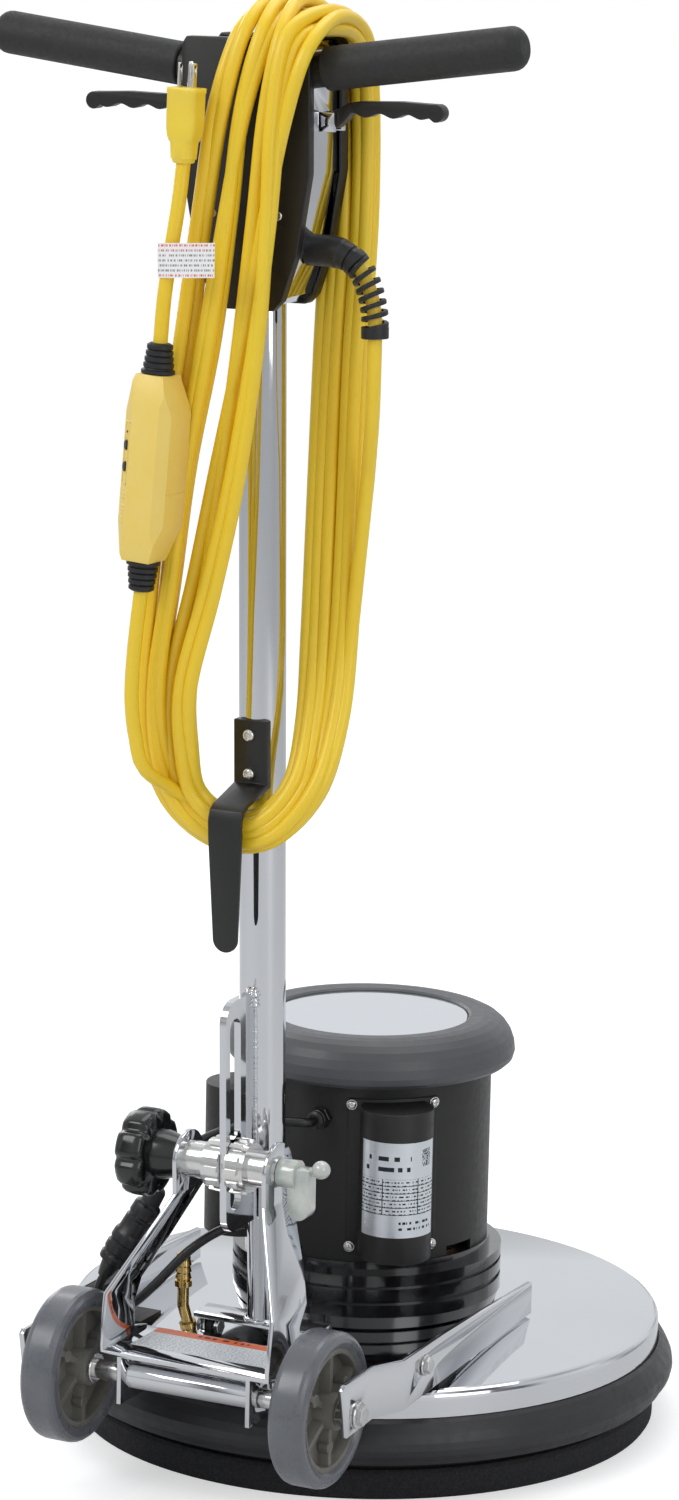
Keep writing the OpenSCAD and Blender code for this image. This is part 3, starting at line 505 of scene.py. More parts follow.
# Middle of the wound bundle: place in mm, half width and side direction
WINDING = [
    ((40, -238, 1211), 42, (1, 0, 0)), ((43, -193, 1195), 36, (1, 0, 0)),
    ((48, -176, 1148), 28, (1, 0, 0)), ((51, -178, 1050), 27, (1, 0, 0)),
    ((47, -179, 930), 27, (1, 0, 0)), ((47, -181, 800), 28, (1, 0, 0)),
    ((48, -188, 710), 28, (1, 0, 0)), ((52, -212, 645), 25, (0.95, 0, -0.2)),
    ((50, -240, 594), 20, (0.966, 0, -0.259)), ((24, -254, 560), 18, (0.469, 0, -0.883)),
    ((-15, -257, 556), 18, (-0.259, 0, -0.966)), ((-45, -264, 579), 20, (-0.848, 0, -0.53)),
    ((-53, -276, 622), 25, (-1, 0, -0.1)), ((-48, -288, 680), 28, (-1, 0, 0)),
    ((-30, -291, 760), 38, (-1, 0, 0)), ((-15, -291, 850), 45, (-1, 0, 0)),
    ((0, -291, 950), 43, (-1, 0, 0)), ((12, -291, 1050), 42, (-1, 0, 0)),
    ((22, -290, 1128), 42, (-1, 0, 0)), ((34, -279, 1188), 41, (-1, 0, 0)),
]
# Station in the middle of the foot, and how many stations away the foot's layers have faded out
BOTTOM_STATION, FOOT_SPREAD = 9.5, 3.5
# How far the strands beside the housing sink onto the grip, in mm at each station over the top
SINK = {19: 7, 0: 12, 1: 8}
# Where they start to sink and the width over which they do, in mm
HOUSING_EDGE, SINK_WIDTH = 52, 12
# Most that a strand wanders sideways, as a share of the bundle's half width
WANDER = 0.35
# Distance in mm of the two layers from the bundle's middle, and of the three at the foot
LAYER, FOOT_LAYER = 4.9, 7.5
# Stations where the first turn starts and the last ends
FIRST_STATION, END_STATION = 6, 12
# Stations from which a strand moves over to its next place and changes layer
DRIFT_STATION, TURNOVER_STATION = 13, 16
RANKS = [10, 0, 7, 3, 5, 9, 1, 6, 2, 8, 4]
MIDDLE_RANK = 5
DROP_ROUTE = [(99, -228, 955), (98, -226, 925), (93, -217, 890), (86, -206, 860), (79, -196, 830),
              (73, -190, 795)]
TAIL_ROUTE = [(-50, -293, 588), (-60, -303, 606), (-65, -311, 632), (-66, -317, 665), (-62, -321, 705),
              (-55.2, -323, 754.2)]
LEAD_ROUTE = [(-40.8, -323, 950.8), (-38, -323, 985), (-34, -321, 1020), (-30, -316, 1060), (-28, -313, 1090)]
RELIEF_ROUTE = [(30, -230, 1022), (50, -230, 1022), (66, -230, 1021), (82, -229, 1013), (92, -228, 997),
                (98, -228, 976), (99, -228, 955)]
MOTOR_ROUTE = [(5, -119, 282), (3, -127, 282), (-10, -136, 283), (-35, -150, 281), (-60, -178, 275),
               (-78, -203, 260), (-86, -211, 246), (-90.4, -215, 233.2)]
HANDLE_ROUTE = [(-133.6, -230, 154.4), (-138, -231.5, 144), (-134, -234, 132), (-120, -239, 128),
                (-100, -243, 138), (-80, -238, 158), (-57, -225, 186), (-36, -212, 203), (-17, -202, 210)]


def in_metres(route):
    return [Vector(p) * MM for p in route]


def strand_point(station, lateral, rank, upper):
    """Point of one strand at a station of the bundle; lateral and upper, its layer, are -1 to 1."""
    place, half_width, side = WINDING[station]
    before, after = WINDING[station - 1][0], WINDING[(station + 1) % len(WINDING)][0]
    tangent = (Vector(after) - Vector(before)).normalized()
    side = Vector(side)
    side = (side - side.dot(tangent) * tangent).normalized()
    out = tangent.cross(side)
    bottom = max(0.0, 1 - abs(station - BOTTOM_STATION) / FOOT_SPREAD)
    layer = (1 - bottom) * LAYER * upper + bottom * FOOT_LAYER * (rank % 3 - 1)
    reach = half_width - CORD_D / 2 / MM
    point = Vector(place) + reach * lateral * side + layer * out
    point.z -= SINK.get(station, 0) * min(1, max(0, (point.x - HOUSING_EDGE) / SINK_WIDTH))
    return point * MM


def wander(turn, station):
    """Slow sideways drift, nearly the same for neighbours."""
    return WANDER * noise.noise(Vector((turn * 0.3, station * 0.37, 0.5)))


def winding_points():
    """Strand after strand of the wound cord, from the drop beside the far leg to the foot of the near leg."""
    points = []
    last = len(WINDING)
    for turn, rank in enumerate(RANKS):
        final = turn == len(RANKS) - 1
        following = RANKS[turn + 1 - final]
        for station in range(0 if turn else FIRST_STATION, END_STATION if final else last):
            lateral = (rank - MIDDLE_RANK) / MIDDLE_RANK
            target = -(following - MIDDLE_RANK) / MIDDLE_RANK
            late = max(0.0, (station - DRIFT_STATION) / (last - DRIFT_STATION))
            place = lateral * (1 - late) + target * late
            place += wander(rank, station)
            # The bundle's outward direction turns over between its last station and its first
            change = max(0.0, (station - TURNOVER_STATION) / (last - TURNOVER_STATION))
            upper = (1 - change) * (-1) ** rank - change * (-1) ** following
            points.append(strand_point(station, max(-1, min(1, place)), rank, upper))
    return points


def cord_curve(name, path, diameter, material, body, stand_in):
    data = bpy.data.curves.new(name, "CURVE")
    data.dimensions = "3D"
    data.bevel_depth = diameter / 2
    data.bevel_resolution = 4
    data.use_fill_caps = True
    spline = data.splines.new("POLY")
    spline.points.add(len(path) - 1)
    for point, place in zip(spline.points, path):
        point.co = (*place, 1)
    spline.use_smooth = True
    data.materials.append(materials[material])
    piece = bpy.data.objects.new(name, data)
    bpy.context.collection.objects.link(piece)
    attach(piece, body)
    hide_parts(*stand_in)
    return piece


def make_cords():
    """The free cords, each with the pieces on it."""
    relief, drop = in_metres(RELIEF_ROUTE[2:]), in_metres(DROP_ROUTE)
    start = relief + drop[1:-1] + winding_points() + in_metres(TAIL_ROUTE[1:])
    main_path = smooth_path(start, 0.008)
    main = cord_curve("power_cord", main_path, CORD_D, "cord_yellow", "handle",
                      ["cord_drop", "cord_winding", "cord_tail"])
    make_breaker()
    lead_path = smooth_path(in_metres(LEAD_ROUTE), 0.006)
    lead = cord_curve("plug_lead", lead_path, CORD_D, "cord_yellow", "handle", ["cord_lead"])
    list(make_plug())
    make_tag()
    motor_path = smooth_path(in_metres(MOTOR_ROUTE), 0.005)
    motor = cord_curve("motor_cable", motor_path, LEAD_D, "lead_rubber", "machine", ["motor_lead"])
    make_connector()
    handle_path = smooth_path(in_metres(HANDLE_ROUTE), 0.005)
    handle = cord_curve("handle_cable", handle_path, LEAD_D, "lead_rubber", "machine", ["handle_lead"])


# ---- detail pieces ----

def handle_place(x, y, z):
    """World point of a place given in the handle's own frame in mm."""
    return HANDLE @ (Vector((x, y, z)) * MM)


def disc(name, place, radius, thick, chamfer=0.0004, sides=40):
    profile = [(radius - chamfer, 0), (radius, chamfer), (radius, thick - chamfer), (radius - chamfer, thick),
               (0, thick)]
    return revolve(name, profile, place, sides)


def foil(name, surface, thickness, columns, rows=1):
    """Closed thin sheet; surface gives the outer point and normal at u and v, which are also its UV map."""
    grid = [(i / columns, j / rows) for j in range(rows + 1) for i in range(columns + 1)]
    outer = [surface(u, v) for u, v in grid]
    points = [p for p, _ in outer] + [p - thickness * n for p, n in outer]
    wide, count = columns + 1, len(grid)
    faces = []
    for j in range(rows):
        for i in range(columns):
            a = j * wide + i
            faces.append((a, a + 1, a + wide + 1, a + wide))
            faces.append((a + count, a + wide + count, a + wide + 1 + count, a + 1 + count))
    border = [*range(columns), *(j * wide + columns for j in range(rows)),
              *(rows * wide + i for i in range(columns, 0, -1)), *(j * wide for j in range(rows, 0, -1))]
    for a, b in zip(border, border[1:] + border[:1]):
        faces.append((b, a, a + count, b + count))
    piece = mesh_object(name, points, faces)
    layer = piece.data.uv_layers.new(name="UVMap")
    for loop in piece.data.loops:
        layer.data[loop.index].uv = grid[loop.vertex_index % count]
    smooth_by_angle(piece, 40)
    return piece


def stamped(name, template, places):
    """Copies of a template at several places as one piece; the template itself goes."""
    work = bmesh.new()
    for place in places:
        mesh = template.data.copy()
        mesh.transform(place)
        work.from_mesh(mesh)
        bpy.data.meshes.remove(mesh)
    data = template.data.copy()
    work.to_mesh(data)
    work.free()
    bpy.data.objects.remove(template)
    piece = bpy.data.objects.new(name, data)
    bpy.context.collection.objects.link(piece)
    return piece


def cut(piece, cutter):
    add_modifier(piece, "BOOLEAN", object=cutter, operation="DIFFERENCE", solver="EXACT")
    bpy.data.objects.remove(cutter)


def screw_head(radius, height):
    """Domed head with a cross recess, seated on Z = 0."""
    shares = [(1, 0), (1, 0.3), (0.93, 0.6), (0.72, 0.85), (0.4, 0.98), (0, 1)]
    head = revolve("screw_head", [(radius * a, height * b) for a, b in shares], sides=28)
    for turn in (0, math.pi / 2):
        low, high = (-0.62 * radius, -0.13 * radius, 0.35 * height), (0.62 * radius, 0.13 * radius, 2 * height)
        cut(head, box_piece("cutter", low, high, Matrix.Rotation(turn, 4, "Z")))
    smooth_by_angle(head, 35)
    return head


def make_case_screws():
    """The eight screws that hold the two capacitor covers to the motor shell."""
    places = [Matrix.Rotation(math.radians(turn + offset), 4, "Z")
              @ Matrix.Translation((MOTOR_R + 0.0018, 0, z)) @ Matrix.Rotation(math.pi / 2, 4, "Y")
              for turn in COVER_TURNS for offset in (-19.5, 19.5) for z in (0.1715, 0.296)]
    seats = stamped("screw_washers", disc("seat", Matrix(), 0.0047, 0.0009, 0.0003), places)
    heads = stamped("case_screws", screw_head(0.0038, 0.0024),
                    [place @ Matrix.Translation((0, 0, 0.0008)) for place in places])
    return [seats, heads]


def make_fasteners():
    """Bolts, nuts, washers and spacers of the chassis, and the case screws, as one group."""
    axle_line, arm_line, hinge_line = (AXLE.y, AXLE.z), (-0.225, 0.124), (PIVOT.y, PIVOT.z)
    stack = [(axle_line, 148.5, 1.8, 11, 40), (axle_line, 150.2, 4.2, 8, 6), (axle_line, 132.4, 11.1, 12, 40),
             (axle_line, 90.4, 3.2, 12.5, 40), (arm_line, 151, 13, 5, 24), (arm_line, 163, 1.6, 8.6, 40),
             (arm_line, 164.5, 4.2, 6.8, 6), (arm_line, 147, 5, 7.6, 6), (hinge_line, 42, 17, 5, 24),
             (hinge_line, 39, 4, 7.5, 6), (hinge_line, 54.5, 1.4, 8.2, 40), (hinge_line, 55.8, 3.6, 6.8, 6)]
    pieces = make_case_screws()
    for side in (-1, 1):
        for (y, z), start, length, radius, sides in stack:
            place = turned_to((side, 0, 0), (side * start * MM, y, z), 0.3)
            pieces.append(disc("bolt", place, radius * MM, length * MM, 0.0005, sides))
    finished(joined("fasteners", pieces), "hardware", "machine", "machine_fasteners")


def make_rating_plate():
    """Foil wrapped round the right capacitor can."""
    def surface(u, v):
        angle = math.radians(-74 + 136 * u)
        out = Vector((math.cos(angle), math.sin(angle), 0))
        return CAN @ (0.0315 * out + Vector((0, 0, 0.192 + 0.082 * v))), CAN.to_3x3() @ out
    finished(foil("nameplate", surface, 0.0004, 32), "plate", "machine", "rating_plate")


def make_yoke_decal():
    """Printed foil on the yoke's base."""
    def surface(u, v):
        return Vector((-0.062 + 0.124 * u, -0.313 + 0.049 * v, 0.13035)), Vector((0, 0, 1))
    finished(foil("yoke_decal", surface, 0.0003, 8, 4), "decal", "yoke")


def make_gland():
    """Hexagonal nut with a ringed dome that the motor's lead comes out of."""
    place = turned_to((0, -1, 0), (0.005, -0.103, 0.282))
    nut = disc("nut", place, 0.0098, 0.0062, 0.0006, 6)
    dome = [(0.0078, 0.006), (0.0082, 0.0075), (0.0082, 0.0105), (0.0072, 0.0112), (0.0072, 0.0122),
            (0.0082, 0.013), (0.0078, 0.0145), (0.006, 0.0158), (0.0042, 0.0162)]
    finished(joined("gland", [nut, revolve("dome", dome, place)]), "lead_rubber", "machine", "cable_gland")


def make_connector():
    """Inline connector: two ribbed halves that push together."""
    top, bottom = Vector((-90.4, -215, 233.2)) * MM, Vector((-133.6, -230, 154.4)) * MM
    place = turned_to(bottom - top, top)
    length = (bottom - top).length
    shares = [(6, 0), (7.5, 0.03), (8.5, 0.16), (11.4, 0.185), (12, 0.2), (12.2, 0.3), (11.2, 0.315),
              (11.2, 0.335), (12.3, 0.35), (12.4, 0.49), (13.4, 0.505), (14.2, 0.53), (14.2, 0.6),
              (13, 0.615), (13, 0.64), (14.2, 0.655), (14, 0.72), (12.9, 0.735), (12.9, 0.76), (13.9, 0.775),
              (13.4, 0.83), (9.5, 0.85), (8, 0.93), (6, 1)]
    shell = revolve("inline_connector", [(r * MM, share * length) for r, share in shares], place, 40,
                    lambda r, angle: r * (1 - 0.035 * (math.sin(3 * angle) > 0.6)) if r > 0.0105 else r)
    return finished(shell, "lead_rubber", "machine", "lead_connector")


def place_along(path, share):
    """Point of a path at a share of its length, with the frame there."""
    frames = path_frames(path, (0, 1, 0.05))
    spot = share * (len(path) - 1)
    i = min(int(spot), len(path) - 2)
    t = spot - i
    point = path[i].lerp(path[i + 1], t)
    tangent, side, _ = (frames[i][k].lerp(frames[i + 1][k], t).normalized() for k in range(3))
    return point, tangent, side, tangent.cross(side)


def tube_along(name, path, shares, steps=60, sides=32):
    """Round tube along part of a path; shares lists where along it and the radius there in mm."""
    first, last = shares[0][0], shares[-1][0]
    even = {first + (last - first) * i / steps for i in range(steps + 1)}
    spots = sorted(even | {share for share, _ in shares})
    points = []
    for spot in spots:
        k = min(max(i for i, (share, _) in enumerate(shares) if share <= spot + 1e-9), len(shares) - 2)
        (s0, r0), (s1, r1) = shares[k], shares[k + 1]
        radius = (r0 + (r1 - r0) * (spot - s0) / max(s1 - s0, 1e-9)) * MM
        point, _, side, other = place_along(path, spot)
        points += circle(point, side, other, radius, sides)
    piece = mesh_object(name, points, tube_faces(len(spots), sides))
    smooth_by_angle(piece, 40)
    return piece


def make_strain_relief():
    """Boot, open spiral and end cuff round the cord where it leaves the housing."""
    path = smooth_path(in_metres(RELIEF_ROUTE), 0.002)
    boot = tube_along("boot", path, [(0.1, 12.6), (0.33, 12.4), (0.345, 11.6), (0.4, 11.2), (0.405, 9.6),
                                     (0.425, 9.6), (0.43, 11.4), (0.47, 11.2), (0.48, 9.4)])
    cuff = tube_along("cuff", path, [(0.9, 9.8), (0.905, 11), (0.99, 11), (1, 10)])
    turns, steps, first, last = 6.5, 34, 0.465, 0.91
    section = [(7.6, -1.9), (10.4, -1.9), (10.9, -1.3), (10.9, 1.3), (10.4, 1.9), (7.6, 1.9)]
    points = []
    count = int(turns * steps)
    for i in range(count + 1):
        share = i / count
        point, tangent, side, other = place_along(path, first + (last - first) * share)
        angle = 2 * math.pi * turns * share
        out = math.cos(angle) * side + math.sin(angle) * other
        points += [point + MM * (r * out + t * tangent) for r, t in section]
    spiral = mesh_object("spiral", points, tube_faces(count + 1, len(section)))
    smooth_by_angle(spiral, 50)
    finished(joined("cord_relief", [boot, spiral, cuff]), "relief_rubber", "handle", "strain_relief")


def make_breaker():
    """Leakage breaker in the cord: body with a raised button frame and ribs, its buttons and its two boots."""
    body = rounded("breaker_body", 0.0016, 3, 20)
    face = BREAKER @ Matrix.Translation((-0.0155, -0.0135, 0)) @ Matrix.Rotation(math.radians(225), 4, "Z") \
        @ Matrix.Rotation(math.pi / 2, 4, "Y")
    across, up, wall = 0.0056, 0.0005, 0.0013
    bars = [((-0.036, -across, -up), (-0.0345, across, up)), ((0.0125, -across, -up), (0.014, across, up)),
            ((-0.036, -across, -up), (0.014, wall - across, up)),
            ((-0.036, across - wall, -up), (0.014, across, up))]
    ribs, rib_pitch = 9, 0.0031
    for i in range(ribs):
        start = 0.018 + rib_pitch * i
        bars.append(((start, -across * 0.9, -up), (start + 0.0012, across * (0.9 if i % 3 else 0.3), up)))
    parts = [box_piece("bar", low, high, face, 0.0003) for low, high in bars]
    side = BREAKER @ Matrix.Translation((0.0215, 0, -0.019))
    parts.append(box_piece("seam", (-0.0006, -0.0115, 0), (0.0004, 0.0195, 0.0006), side))
    shell = finished(joined("breaker_shell", [body, *parts]), "breaker_yellow", "handle", "breaker_body")
    lens = [(0.0011, -0.0005), (0.0011, 0.0003), (0.0006, 0.0008), (0, 0.0009)]
    lamp = revolve("breaker_lamp", lens, face @ Matrix.Translation((-0.0275, 0, 0)), 20)
    lamp = finished(lamp, "led", "handle")
    boots = []
    for turn in (0, math.pi):
        place = BREAKER @ Matrix.Rotation(turn, 4, "Y") @ Matrix.Translation((0, 0, 0.0738))
        profile = [(0.0118, 0), (0.0135, 0.001), (0.0135, 0.0035), (0.0118, 0.0042)]
        for k in range(4):
            r, z = 0.0121 - 0.0006 * k, 0.0058 + 0.0048 * k
            profile += [(r - 0.0008, z - 0.0006), (r, z), (r, z + 0.003), (r - 0.0008, z + 0.0036)]
        profile += [(0.0088, 0.0238), (0.0082, 0.0246), (0.0058, 0.0247)]
        boots.append(revolve("boot", profile, place, 40))
    boots = finished(joined("breaker_boots", boots), "relief_rubber", "handle", "breaker_reliefs")
    buttons = [refine(name, "housing_plastic", 0.0006, 2) for name in ("test_button", "reset_button")]
    return [shell, lamp, boots, *buttons]


def make_plug():
    """Moulded plug with rounded shoulders, two flat prongs with holes and a round earth pin."""
    sections = [(0, 7.6, 7.6, 1), (0.8, 8.6, 8.6, 1), (3, 9, 8.8, 1), (3.4, 9.6, 9.2, 0.9), (15, 10, 9.4, 0.8),
                (16.6, 10.2, 9.5, 0.7), (17.4, 10.9, 9.8, 0.6), (21, 11.9, 10.2, 0.45), (26, 12.6, 10.5, 0.35),
                (34, 12.9, 10.6, 0.3), (53.6, 12.9, 10.6, 0.3), (54.2, 13.4, 11, 0.3), (57.4, 13.4, 11, 0.3),
                (58, 12.9, 10.6, 0.3)]
    sides = 48
    points = []
    for z, half_x, half_y, round_share in sections:
        power = 2 / (2 + 6 * (1 - round_share))
        for k in range(sides):
            angle = 2 * math.pi * k / sides
            c, s = math.cos(angle), math.sin(angle)
            x = half_x * math.copysign(abs(c) ** power, c)
            y = half_y * math.copysign(abs(s) ** power, s)
            points.append(PLUG @ (Vector((x, y, z)) * MM))
    body = mesh_object("plug_body", points, tube_faces(len(sections), sides))
    smooth_by_angle(body, 50)
    body = finished(body, "plug_yellow", "handle", "plug")
    prongs = []
    for x in (-7, 5.5):
        blade = box_piece("blade", (x * MM, -0.0032, 0.056), (x * MM + 0.0015, 0.0032, 0.077), PLUG, 0.0006)
        through = PLUG @ Matrix.Translation((x * MM, 0, 0.072)) @ Matrix.Rotation(math.pi / 2, 4, "Y")
        cut(blade, revolve("cutter", [(0.0012, -0.004), (0.0012, 0.004)], through, 20))
        prongs.append(blade)
    pin = [(0.0024, 0.056), (0.0024, 0.075), (0.0019, 0.0772), (0.001, 0.078), (0, 0.078)]
    prongs.append(revolve("pin", pin, PLUG @ Matrix.Translation((0, 0.006, 0)), 24))
    return [body, finished(joined("plug_prongs", prongs), "hardware", "handle")]


def make_tag():
    """Printed film wrapped round the plug's lead, its free end lying on the winding."""
    def surface(u, v):
        bow = 0.0016 * math.sin(math.pi * u) + 0.0005 * math.sin(7 * u + 2 * v)
        return (Vector((-0.041 + 0.05 * u, -0.3283 - bow, 1.0015 + 0.027 * v + 0.0025 * u)),
                Vector((-0.1 * math.cos(math.pi * u), -1, 0)).normalized())
    return finished(foil("cord_label", surface, 0.00025, 24, 6), "tag", "handle", "cord_tag")


def make_knob():
    """Glossy star knob with eight scallops round a thick rim."""
    place = turned_to((-1, 0, 0), CLAMP)

    def lobe(r, angle):
        if r < 0.024:
            return r
        dip = max(0.0, math.cos(8 * angle)) ** 2.2
        return r - 0.0036 * dip * min(1.0, (r - 0.024) / 0.008)
    profile = [(17, 47), (17.6, 50), (20.5, 60), (21, 66), (24.5, 66.6), (31, 67.4), (34.6, 69), (36.3, 72),
               (36.6, 76), (36.6, 84), (36.2, 88), (34.2, 91.4), (30.5, 93.2), (26, 93.8), (22, 94.8),
               (14, 95), (0, 95)]
    knob = revolve("star_knob", [(r * MM, z * MM) for r, z in profile], place, 160, lobe)
    smooth_by_angle(knob, 60)
    finished(knob, "knob_plastic", "knob", "lock_knob")


def bead(name, start, end, radius, seed, step=0.0012):
    """Lumpy run of weld between two points."""
    count = max(4, round((end - start).length / step))
    path = [start.lerp(end, i / count) for i in range(count + 1)]

    def swell(share):
        lump = noise.noise(Vector((seed, share * count * 0.45, 0)))
        ends = min(1.0, 6 * min(share, 1 - share) + 0.25)
        return radius * ends * (1 + 0.45 * lump + 0.15 * math.sin(share * count * 1.7))
    return sweep(name, path, swell, 10, (1, 0.1, 0.1))


def make_welds():
    """Weld runs along the slotted plate, at the tube's foot and round the axle tube of the yoke."""
    runs = []
    # Each run's offset behind the tube, its lower and upper end, the share of x left there, radius and seed
    lines = [(-18.8, 150, 298, 1, 0.0017, 3.1), (-19.3, 288, 305, 0.6, 0.0042, 5.7),
             (-19.2, 136, 152, 1, 0.0038, 9.3)]
    for side in (-1, 1):
        x = side * 3.2
        for y, low, high, kept, radius, seed in lines:
            ends = handle_place(x, y, low), handle_place(x * kept, y, high)
            runs.append(bead("weld", *ends, radius, side * seed))
    count = 40
    for height, radius, size in ((134, 13.6, 1.9), (14.5, 13.6, 2.1)):
        ring = [handle_place(radius * math.cos(a), radius * math.sin(a), height)
                for a in (2 * math.pi * k / count for k in range(count + 1))]
        runs.append(sweep("weld", ring, lambda share, size=size: size * MM * (
            1 + 0.35 * noise.noise(Vector((size, 23 * (share % 1.0), 1)))), 10))
    finished(joined("handle_welds", runs), "chrome", "handle")
    joints = []
    for side in (-1, 1):
        for x in (57.4, 61.4):
            ends = [Vector((side * x, y, 126.4)) * MM for y in (-328, -308)]
            joints.append(bead("weld", *ends, 0.0014, side * x))
    finished(joined("yoke_welds", joints), "chrome", "yoke")


def make_handle_screws():
    """Screws in the cord hook and in the rear half of the switch housing."""
    outward = HANDLE.to_3x3() @ Vector((0, -1, 0))
    places = [turned_to(outward, handle_place(0, -24, z), 0.4 + z) for z in (484, 516)]
    heads = [stamped("hook_screws", screw_head(0.005, 0.0032), places)]
    places = [turned_to(outward, handle_place(x, -29.6, z), x) for x, z in ((-29, 935), (29, 935), (0, 902))]
    heads.append(stamped("cover_screws", screw_head(0.0036, 0.0018), places))
    finished(joined("handle_screws", heads), "hardware", "handle")


def make_wheel_details(side, body):
    """Screw bosses on both faces of a wheel's web."""
    place = turned_to((side, 0, 0), (side * 0.113, AXLE.y, AXLE.z))
    bosses = []
    for k in range(3):
        angle = math.radians(30 + 120 * k)
        for z in (-0.0115, 0.0015):
            spot = place @ Matrix.Translation((0.031 * math.cos(angle), 0.031 * math.sin(angle), z))
            bosses.append(disc("boss", spot, 0.0052, 0.010, 0.0008, 28))
    finished(joined(body + "_bosses", bosses), "wheel_plastic", body)


def make_details():
    make_fasteners()
    make_rating_plate()
    make_yoke_decal()
    make_gland()
    make_strain_relief()
    make_knob()
    make_welds()
    make_handle_screws()
    make_wheel_details(-1, "wheel_left")
    make_wheel_details(1, "wheel_right")


# ---- stage ----

def make_floor():
    reach = 400
    corners = [(-reach, -reach, 0), (reach, -reach, 0), (reach, reach, 0), (-reach, reach, 0)]
    floor = mesh_object("floor", corners, [(0, 1, 2, 3)], smooth=False)
    floor.location.z = -0.0002
    floor.data.materials.append(materials["floor"])


def add_area_light(name, place, target, size, power):
    data = bpy.data.lights.new(name, "AREA")
    data.shape = "RECTANGLE"
    data.size, data.size_y = size
    data.energy = power
    light = bpy.data.objects.new(name, data)
    light.location = place
    light.rotation_mode = "QUATERNION"
    light.rotation_quaternion = (Vector(target) - Vector(place)).to_track_quat("-Z", "Y")
    bpy.context.collection.objects.link(light)


def set_ramp(ramp, stops, tint=(1, 1, 1)):
    """Gives a colour ramp its stops, each a position and a level."""
    while len(ramp.elements) < len(stops):
        ramp.elements.new(0.5)
    for element, (position, level) in zip(ramp.elements, stops):
        element.position = position
        element.color = (*(level * share for share in tint), 1)


def make_world():
    """Pale studio: bright above, a grey band with dark gaps near the horizon for the chrome to show."""
    world = bpy.data.worlds.new("studio")
    bpy.context.scene.world = world
    world.use_nodes = True
    tree = world.node_tree
    add, link = tree.nodes.new, tree.links.new
    sky = tree.nodes["Background"]
    coords = add("ShaderNodeTexCoord")
    split = add("ShaderNodeSeparateXYZ")
    link(coords.outputs["Generated"], split.inputs[0])
    height = add("ShaderNodeValToRGB")
    stops = [(0.0, 0.8), (0.49, 0.85), (0.505, 0.6), (0.53, 0.7), (0.57, 0.92), (0.75, 1.0), (1.0, 0.8)]
    set_ramp(height.color_ramp, stops, (0.96, 0.98, 1))
    shift = add("ShaderNodeMapRange")
    shift.inputs["From Min"].default_value = -1
    link(split.outputs["Z"], shift.inputs["Value"])
    link(shift.outputs[0], height.inputs[0])
    turn = add("ShaderNodeMath")
    turn.operation = "ARCTAN2"
    link(split.outputs["X"], turn.inputs[0])
    link(split.outputs["Y"], turn.inputs[1])
    bands = add("ShaderNodeValToRGB")
    scale = add("ShaderNodeMapRange")
    scale.inputs["From Min"].default_value = -math.pi
    scale.inputs["From Max"].default_value = math.pi
    link(turn.outputs[0], scale.inputs["Value"])
    link(scale.outputs[0], bands.inputs[0])
    stripes = [(0.0, 0.9), (0.07, 0.75), (0.1, 0.2), (0.13, 0.85), (0.24, 0.7), (0.3, 1.0), (0.55, 1.0),
               (0.6, 0.6), (0.63, 0.95), (0.72, 0.8), (0.75, 0.2), (0.79, 0.3), (0.82, 1.0), (0.95, 0.75)]
    set_ramp(bands.color_ramp, stripes)
    both = add("ShaderNodeMix")
    both.data_type = "RGBA"
    both.blend_type = "MULTIPLY"
    both.inputs["Factor"].default_value = 1.0
    link(height.outputs[0], both.inputs["A"])
    link(bands.outputs[0], both.inputs["B"])
    link(both.outputs["Result"], sky.inputs["Color"])
    sky.inputs["Strength"].default_value = 0.95
    seen = add("ShaderNodeBackground")
    seen.inputs["Color"].default_value = (1, 1, 1, 1)
    seen.inputs["Strength"].default_value = 1.0
    rays = add("ShaderNodeLightPath")
    choice = add("ShaderNodeMixShader")
    link(rays.outputs["Is Camera Ray"], choice.inputs[0])
    link(sky.outputs[0], choice.inputs[1])
    link(seen.outputs[0], choice.inputs[2])
    link(choice.outputs[0], tree.nodes["World Output"].inputs[0])


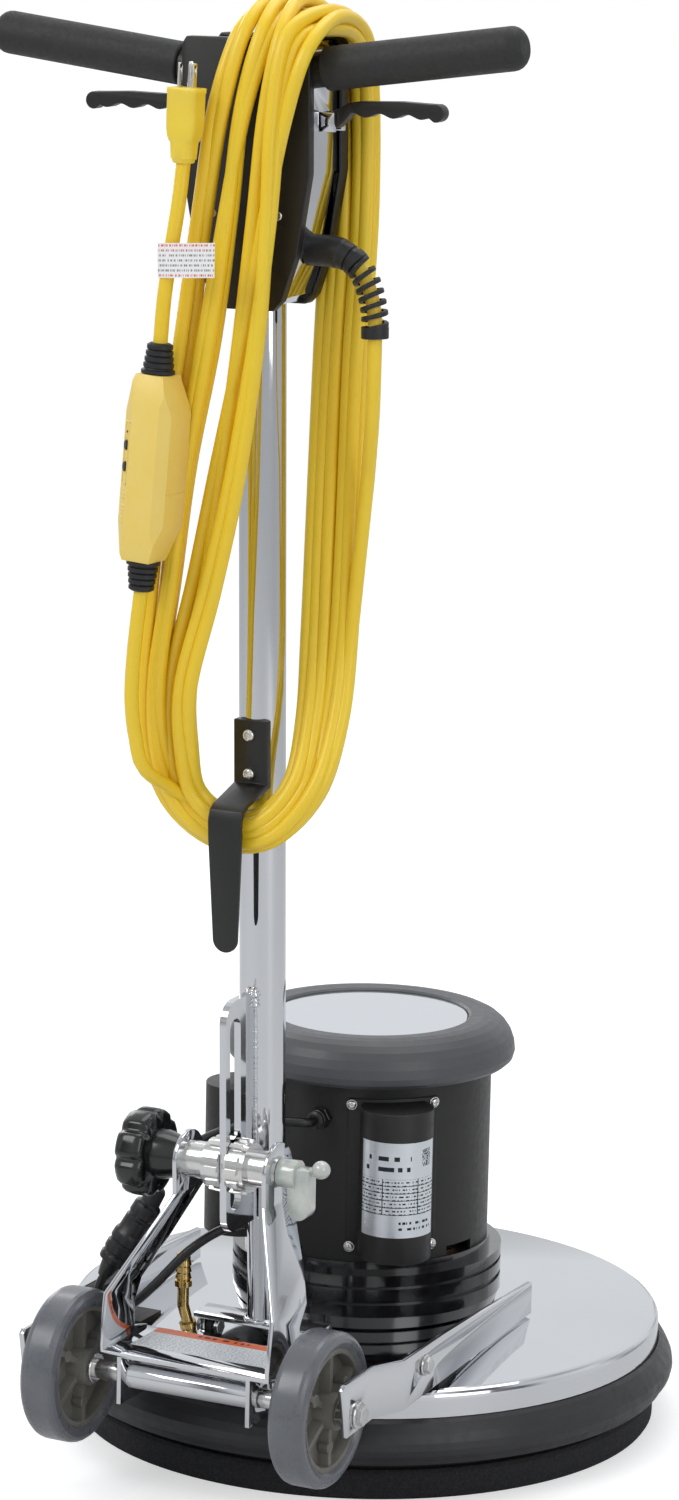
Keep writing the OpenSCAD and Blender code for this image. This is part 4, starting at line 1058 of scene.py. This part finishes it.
def make_lights():
    add_area_light("key", (-1.6, -2.6, 2.9), (0, 0, 0.5), (1.6, 1.6), 34)
    add_area_light("fill", (2.8, -1.4, 1.5), (0, 0, 0.5), (1.2, 2.2), 14)
    add_area_light("top", (0.2, 0.6, 3.4), (0, 0, 0.4), (2.4, 2.0), 26)
    add_area_light("rim", (-2.2, 1.8, 1.8), (0, 0, 0.6), (1.0, 2.0), 14)
    make_world()
    bpy.context.scene.view_settings.view_transform = "Standard"


# ---- looks of the CAD pieces ----

# Rounding in mm of the pieces whose CAD edges are sharper than the real ones
ROUNDINGS = {
    "chrome": {"side_arm_left": 0.7, "side_arm_right": 0.7, "yoke": 0.6, "handle_foot": 0.7, "side_band": 0.4},
    "hardware": {"clamp_collars": 0.5, "clamp_bolt": 0.6},
    "motor_paint": {"deck_brackets": 0.8, "capacitor_cover_right": 2.2, "capacitor_cover_left": 2.2},
    "housing_plastic": {"rear_cover": 1.6, "front_cover": 1.6, "trigger_left": 1.8, "trigger_right": 1.8},
    "bar_paint": {"cord_hook": 1.1},
    "lever_metal": {"clamp_lever": 2.2},
    "wheel_plastic": {"hub_left": 0.7, "hub_right": 0.7},
}
# Look of each CAD piece that is shown as it is
NODE_LOOKS = {
    "chrome": ["deck_shell", "handle_tube"],
    "disc": ["top_disc"],
    "hardware": ["axle"],
    "gear_steel": ["planet_carrier", "planet_gear_1", "planet_gear_2", "planet_gear_3", "rotor_shaft",
                   "rotor_core", "ring_gear"],
    "cast_black": ["gear_housing"],
    "cast_raw": ["gear_cover"],
    "motor_paint": ["motor_shell"],
    "copper_winding": ["stator"],
    "cover_grey": ["top_cover"],
    "bumper_rubber": ["bumper_ring"],
    "pad_fibre": ["floor_pad"],
    "driver_plastic": ["pad_driver"],
    "brass": ["hose_barb"],
    "tyre_rubber": ["tyre_left", "tyre_right"],
    "bar_paint": ["handle_bar"],
    "grip_rubber": ["hand_grips"],
}


def dress_cad():
    """Rounds the edges of some CAD pieces and paints the rest."""
    for look, widths in ROUNDINGS.items():
        for name, width in widths.items():
            refine(name, look, width * MM, 3 if width > 1 else 2)
    for look, names in NODE_LOOKS.items():
        for name in names:
            paint_node(name, look)


make_camera()
materials = make_materials()
make_cords()
make_details()
dress_cad()
make_floor()
make_lights()
